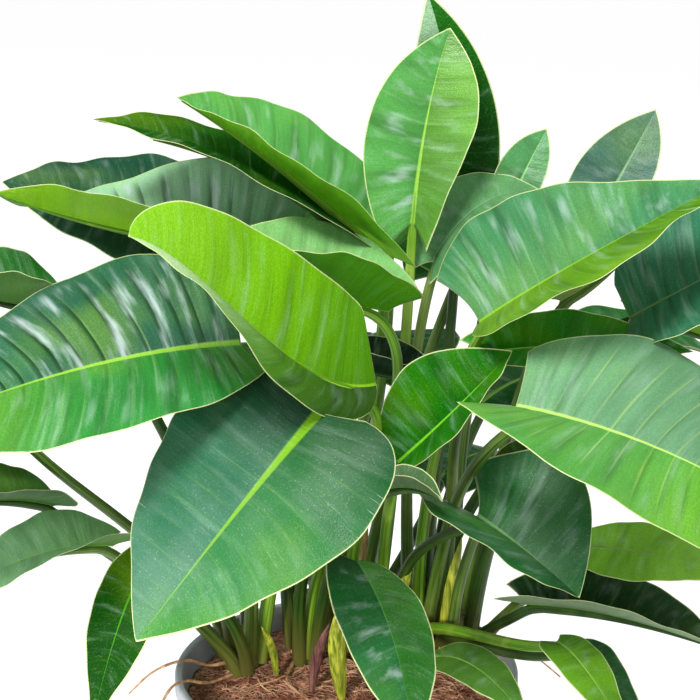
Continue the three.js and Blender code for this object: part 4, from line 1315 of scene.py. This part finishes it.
# %% Ground
SOIL_TOP = 250
SOIL_CROWN = 5
SOIL_DIP = 3
CROWN_EDGE = 0.7
SOIL_RINGS = 56
SOIL_SECTORS = 150
SOIL_WAIST = 120
CLUMP_SIZE = 26
CLUMP_HEIGHT = 3.2
CRUMB_SIZE = 4.5
CRUMB_HEIGHT = 1.1


def soil_edge(height):
    return pot_radius(height) - WALL - GAP


def soil_height(x, y):
    """Height of the ground in millimetres: a low crown, clumps and crumbs."""
    radius = math.hypot(x, y) / soil_edge(SOIL_TOP)
    crown = SOIL_TOP + SOIL_CROWN * (1 - min(1, radius / CROWN_EDGE))
    crown = crown - SOIL_DIP * max(0, (radius - CROWN_EDGE) / (1 - CROWN_EDGE))
    place = Vector((x / CLUMP_SIZE, y / CLUMP_SIZE, 0.3))
    clump = noise.fractal(place, 0.8, 2.1, 5, noise_basis="PERLIN_ORIGINAL")
    crumb = noise.noise(Vector((x / CRUMB_SIZE, y / CRUMB_SIZE, 7.7)))
    return crown + CLUMP_HEIGHT * clump + CRUMB_HEIGHT * crumb


def soil_mesh():
    work = bmesh.new()
    low = POT_FLOOR + GAP
    foot = work.verts.new((0, 0, low * MM))
    crest = work.verts.new((0, 0, soil_height(0, 0) * MM))
    turns = round_the_axis(SOIL_SECTORS)
    rings = [level_ring(work, soil_edge(height), height, turns) for height in (low, SOIL_WAIST)]
    for i in range(SOIL_RINGS):
        radius = soil_edge(SOIL_TOP - 4) * (1 - i / SOIL_RINGS)
        ring = []
        for a in turns:
            x, y = radius * math.cos(a), radius * math.sin(a)
            ring.append(work.verts.new((x * MM, y * MM, soil_height(x, y) * MM)))
        rings.append(ring)
    close_rings(work, foot, rings, crest)
    return plain_mesh("ground", work)


def soil_finish():
    """Dull brown crumbs, redder in patches."""
    material = new_material("coir")
    tree = material.node_tree
    own = node(tree, "ShaderNodeTexCoord").outputs["Object"]
    crumbs = even_noise(tree, own, 210, 6.0)
    patches = even_noise(tree, own, 24, 4.0)
    paint = layer(tree, band(tree, crumbs, 0.34, 0.68), colour("5a2e20"), colour("f0b090"))
    paint = layer(tree, band(tree, patches, 0.45, 0.75, 0, 0.6), paint, colour("8a4c34"))
    show(tree, bumpy_skin(tree, paint, 0.95, crumbs, 0.9, 0.002))
    return material


ground_mesh = soil_mesh()
ground_mesh.materials.append(soil_finish())
ground = finish_piece("coir_ground", ground_mesh, ["soil"])
print("ground faces:", len(ground.data.polygons))

# %% Fibre tree
FIBRE_SEED = 7
FIBRE_LENGTH = 0.0095
FIBRE_GIRTH = 0.0003
FIBRE_STEPS = 4
FIBRE_SIDES = 3
FIBRE_TILT = 0.5
FULL_TURN = 6.28


def fibre_tree(material):
    """Scatters short bent strands over a surface: points, one strand at each, turned and scaled at random."""
    tree = new_tree("coir_fibres", {
        "Surface": ("Geometry", None), "Density": ("Float", None), "Length": ("Float", FIBRE_LENGTH),
        "Girth": ("Float", FIBRE_GIRTH), "Seed": ("Int", FIBRE_SEED)}, "Fibres")
    given = node(tree, "NodeGroupInput")
    points = node(tree, "GeometryNodeDistributePointsOnFaces",
                  {"Mesh": given.outputs["Surface"], "Density": given.outputs["Density"],
                   "Seed": given.outputs["Seed"]})
    back, ahead, rise = (maths(tree, "MULTIPLY", given.outputs["Length"], part) for part in (-0.5, 0.5, 0.3))
    left = node(tree, "ShaderNodeCombineXYZ", {"X": back})
    middle = node(tree, "ShaderNodeCombineXYZ", {"Y": rise, "Z": rise})
    right = node(tree, "ShaderNodeCombineXYZ", {"X": ahead})
    strand = node(tree, "GeometryNodeCurveQuadraticBezier",
                  {"Resolution": FIBRE_STEPS, "Start": left.outputs[0], "Middle": middle.outputs[0],
                   "End": right.outputs[0]})
    section = node(tree, "GeometryNodeCurvePrimitiveCircle",
                   {"Resolution": FIBRE_SIDES, "Radius": given.outputs["Girth"]})
    strand = node(tree, "GeometryNodeCurveToMesh",
                  {"Curve": strand.outputs[0], "Profile Curve": section.outputs[0], "Fill Caps": True})
    turn = node(tree, "FunctionNodeRandomValue",
                {0: (-FIBRE_TILT, -FIBRE_TILT, 0.0), 1: (FIBRE_TILT, FIBRE_TILT, FULL_TURN)},
                data_type="FLOAT_VECTOR")
    size = node(tree, "FunctionNodeRandomValue", {2: 0.4, 3: 1.5}, data_type="FLOAT")
    placed = node(tree, "GeometryNodeInstanceOnPoints",
                  {"Points": points.outputs[0], "Instance": strand.outputs[0],
                   "Rotation": turn.outputs[0], "Scale": size.outputs[1]})
    end_tree(tree, placed.outputs[0], material, "Fibres")
    return tree


# %% Loose fibres
FIBRE_COUNT = 6400
WALL_MARGIN = 8
TOP_FACES = 240


def open_ground(ground_mesh):
    """A copy of the ground with only the faces of its top that lie away from the pot's wall."""
    work = bmesh.new()
    work.from_mesh(ground_mesh)
    reach = (soil_edge(SOIL_TOP) - WALL_MARGIN) * MM
    outer = [face for face in work.faces
             if min(v.co.z for v in face.verts) < TOP_FACES * MM
             or max(v.co.xy.length for v in face.verts) > reach]
    bmesh.ops.delete(work, geom=outer, context="FACES")
    return plain_mesh("top", work)


fibre_paint = fibrous("coir_fibre", "8a503c", "f6c8ac", 90, stripes=(60, 60, 60), roughness=0.9)
open_area = math.pi * ((soil_edge(SOIL_TOP) - WALL_MARGIN) * MM) ** 2
fibre_mesh = grow("fibres", open_ground(ground.data), fibre_tree(fibre_paint),
                  {"Density": FIBRE_COUNT / open_area})
fibre_piece = finish_piece("coir_fibres", fibre_mesh)
print("fibre faces:", len(fibre_piece.data.polygons))

# %% [markdown]
# ## Stems
# The stems of this plant stay short. What stands in the soil is a stub ringed by the scars of old leaves,
# with brown fibres of their dried sheaths round it. Each is turned from a profile in which a scar comes
# every few millimetres, and then pushed in and out a little so that it isn't round.

# %% Stems
SCAR_STEP = 8
SCAR_DEPTH = 1.1
CROWN_ROUND = 2.5
STEM_SECTORS = 36
STEM_SWELL = 0.05
SWELL_SCALE = 60  # in Blender's metres, so a swelling is about 17 mm long
stem_paint = fibrous("stem_bark", "4a4a22", "8a8a48", 40, stripes=(200, 200, 24), roughness=0.65,
                     bump_depth=0.001)


def stem_mesh(name, stem, seed):
    top = stem["top"]
    profile = [(0, STEM_FOOT)]
    for height in np.arange(STEM_FOOT, top - CROWN_ROUND, 1.0):
        phase = ((height - STEM_FOOT) / SCAR_STEP) % 1
        profile.append((stem_radius(stem, height) - SCAR_DEPTH * phase ** 3, height))
    crown = stem_radius(stem, top) - SCAR_DEPTH
    profile += [(crown * math.cos(a), top - CROWN_ROUND + CROWN_ROUND * math.sin(a))
                for a in np.linspace(0.1, 1.4, 6)]
    profile.append((0, top))
    mesh = lathe(name, profile, STEM_SECTORS)
    for vertex in mesh.vertices:
        place = vertex.co * SWELL_SCALE + Vector((seed * 3.1, 0, 0))
        swell = 1 + STEM_SWELL * noise.noise(place)
        vertex.co.x = vertex.co.x * swell + stem["x"] * MM
        vertex.co.y = vertex.co.y * swell + stem["y"] * MM
    return mesh


for seed, (name, stem) in enumerate(STEMS.items()):
    mesh = stem_mesh("stub_" + name, stem, seed)
    mesh.materials.append(stem_paint)
    finish_piece("stub_" + name, mesh, ["stem_" + name])
print("stems:", len(STEMS))

# %% [markdown]
# ## Aerial roots
# Thin tan roots leave the stems and wander over the coir, and three of them cross the rim. They follow
# paths, so the same swept tube makes them, with a girth that swells and shrinks along the way. Short
# rootlets of the same kind cross the coir between them, each along a walk of small random turns from a
# fixed seed.

# %% Roots
ROOTS = [
    dict(name="root_left_over_rim", girth=1.6,
         path=[(-98, 33, 262), (-120, 22, 262), (-139, 12, 271.5), (-155, 4, 272), (-172, -4, 266),
               (-190, -14, 252)]),
    dict(name="root_left_drooping", girth=1.5,
         path=[(-95, 30, 252.4), (-120, -2, 257), (-139, -28, 271.3), (-153, -46, 270), (-168, -66, 240),
               (-178, -78, 200)]),
    dict(name="root_front_on_soil", girth=1.7,
         path=[(-46.5, 48.3, 255), (-52, 8, 254.3), (-40, -20, 254.7), (-24, -44, 254.4), (-6, -72, 253.3),
               (2, -96, 252.2)]),
    dict(name="root_right_over_rim", girth=1.5,
         path=[(108, 54.8, 258), (122, 52, 266), (136, 48, 272.1), (152, 43, 272.3), (170, 36, 262),
               (190, 27, 248)]),
]
ROOT_STEPS = 60
ROOT_SIDES = 8
ROOT_THINNING = 0.55
root_paint = fibrous("root_skin", "a87854", "e4bc96", 120, stripes=(160, 160, 160), roughness=0.8)
root_tree = tube_tree("root_tube", ROOT_SIDES, 0.0, root_paint)


def smooth_path(points, steps):
    """A smooth curve through points, which heads at each one from its neighbour before to the one after."""
    points = np.array(points, float)
    padded = np.concatenate([[2 * points[0] - points[1]], points, [2 * points[-1] - points[-2]]])
    made = []
    for place in np.linspace(0, len(points) - 1, steps):
        i = min(int(place), len(points) - 2)
        s = place - i
        a, b, c, d = padded[i:i + 4]
        made.append(0.5 * (2 * b + (c - a) * s + (2 * a - 5 * b + 4 * c - d) * s ** 2
                           + (3 * b - a - 3 * c + d) * s ** 3))
    return np.array(made)


def root_girth(base, steps, seed):
    """Knotty, and thinner towards the end."""
    s = np.linspace(0, 1, steps)
    knots = 0.14 * np.sin(23 * s + seed) + 0.1 * np.sin(51 * s + 2 * seed)
    return base * (1 + knots) * (1 - ROOT_THINNING * s ** 1.5)


for seed, root in enumerate(ROOTS):
    points = smooth_path(root["path"], ROOT_STEPS)
    girth = root_girth(root["girth"], ROOT_STEPS, seed)
    mesh = grow(root["name"], path_mesh("root_path", points, girth), root_tree)
    finish_piece(root["name"] + "_skin", mesh, [root["name"]])

print("roots:", len(ROOTS))

# %% Rootlets
ROOTLETS = 26
ROOTLET_SEED = 11
ROOTLET_WALK = 9
ROOTLET_STEPS = 24
ROOTLET_STRIDE = 9
ROOTLET_BEND = 0.5
ROOTLET_RISE = 1.2
ROOTLET_ARCH = 2.5


def rootlet_walk(dice):
    """Points of a random walk over the coir, where it stays off the pot's wall."""
    bearing = dice.uniform(0, 2 * np.pi)
    radius = dice.uniform(20, 110)
    heading = dice.uniform(0, 2 * np.pi)
    x, y = radius * math.cos(bearing), radius * math.sin(bearing)
    points = []
    for step in range(ROOTLET_WALK):
        if math.hypot(x, y) < soil_edge(SOIL_TOP) - WALL_MARGIN:
            arch = ROOTLET_ARCH * math.sin(math.pi * step / (ROOTLET_WALK - 1)) * dice.uniform(0.2, 1)
            points.append((x, y, soil_height(x, y) + ROOTLET_RISE + arch))
        heading += dice.uniform(-ROOTLET_BEND, ROOTLET_BEND)
        x += ROOTLET_STRIDE * math.cos(heading)
        y += ROOTLET_STRIDE * math.sin(heading)
    return points


dice = np.random.default_rng(ROOTLET_SEED)
rootlets = []
for i in range(ROOTLETS):
    points = rootlet_walk(dice)
    if len(points) > 3:
        line = smooth_path(points, ROOTLET_STEPS)
        girth = root_girth(dice.uniform(0.5, 1.1), ROOTLET_STEPS, i)
        rootlets.append((grow("rootlet", path_mesh("rootlet_path", line, girth), root_tree), 0))
rootlet_mesh = join_meshes("rootlets", rootlets)
rootlet_mesh.materials.append(root_paint)
finish_piece("rootlets", rootlet_mesh)
print("rootlets:", len(rootlets))

# %% [markdown]
# ## Dry sheaths and young shoots
# Each young leaf comes out of a thin sheath that dries to a papery tan strip and stays on the stem. In the
# coir stand a few that are still yellow or purple, and these have no solid in the frame. A sheath follows
# the same rules as a blade, but it is narrow and folded, so the same function makes it, with one finish all
# over.

# %% Sheaths
SHEATHS = [
    dict(name="dry_sheath_front", width=14, rib=[(12, 66, 326.6), (13, 58, 372), (14, 48, 418)]),
    dict(name="dry_sheath_right", width=12, rib=[(62, 76, 318.6), (70, 62, 385), (78, 45, 455)]),
]
SHOOTS = [
    dict(name="shoot_yellow", paint="yellow", width=17,
         rib=[(-4, -30, 254), (-8, -38, 300), (-9, -48, 346)]),
    dict(name="shoot_purple", paint="purple", width=10,
         rib=[(-30, -14, 254), (-25, -20, 290), (-14, -30, 328)]),
    dict(name="shoot_middle", paint="yellow", width=14,
         rib=[(38, 34, 258), (44, 26, 312), (58, 12, 366)]),
    dict(name="shoot_right", paint="yellow", width=13,
         rib=[(84, 26, 258), (90, 20, 325), (100, 8, 392)]),
    dict(name="shoot_left", paint="yellow", width=8,
         rib=[(-62, 18, 254), (-66, 10, 285), (-74, -4, 312)]),
]
SHEATH_STRIPES = (420, 420, 18)
sheath_paints = {
    "paper": fibrous("dry_paper", "9a7440", "e2c690", 50, SHEATH_STRIPES, roughness=0.75, bump_depth=0.0008),
    "yellow": fibrous("fading_sheath", "5c7414", "c6c84a", 50, SHEATH_STRIPES),
    "purple": fibrous("young_sheath", "4c2a2e", "9c7066", 50, SHEATH_STRIPES),
}
SHEATH_VEINS = 10
SHEATH_FOLD = (40, 10)

for seed, row in enumerate(SHEATHS + SHOOTS):
    leaf = dict(left=SHEATH_FOLD, right=SHEATH_FOLD, heading=-90, lobe=0, pleat=0.25, **row)
    leaf["veins"] = SHEATH_VEINS
    leaf["length"] = leaf_length(leaf)
    mesh = blade_mesh(leaf, seed)
    mesh.polygons.foreach_set("material_index", [0] * len(mesh.polygons))
    mesh = join_meshes(leaf["name"], [(mesh, None)])
    mesh.materials.append(sheath_paints[leaf.get("paint", "paper")])
    replaced = [leaf["name"]] if row in SHEATHS else []
    finish_piece(leaf["name"] + "_paper", mesh, replaced)
print("sheaths:", len(SHEATHS), "shoots:", len(SHOOTS))
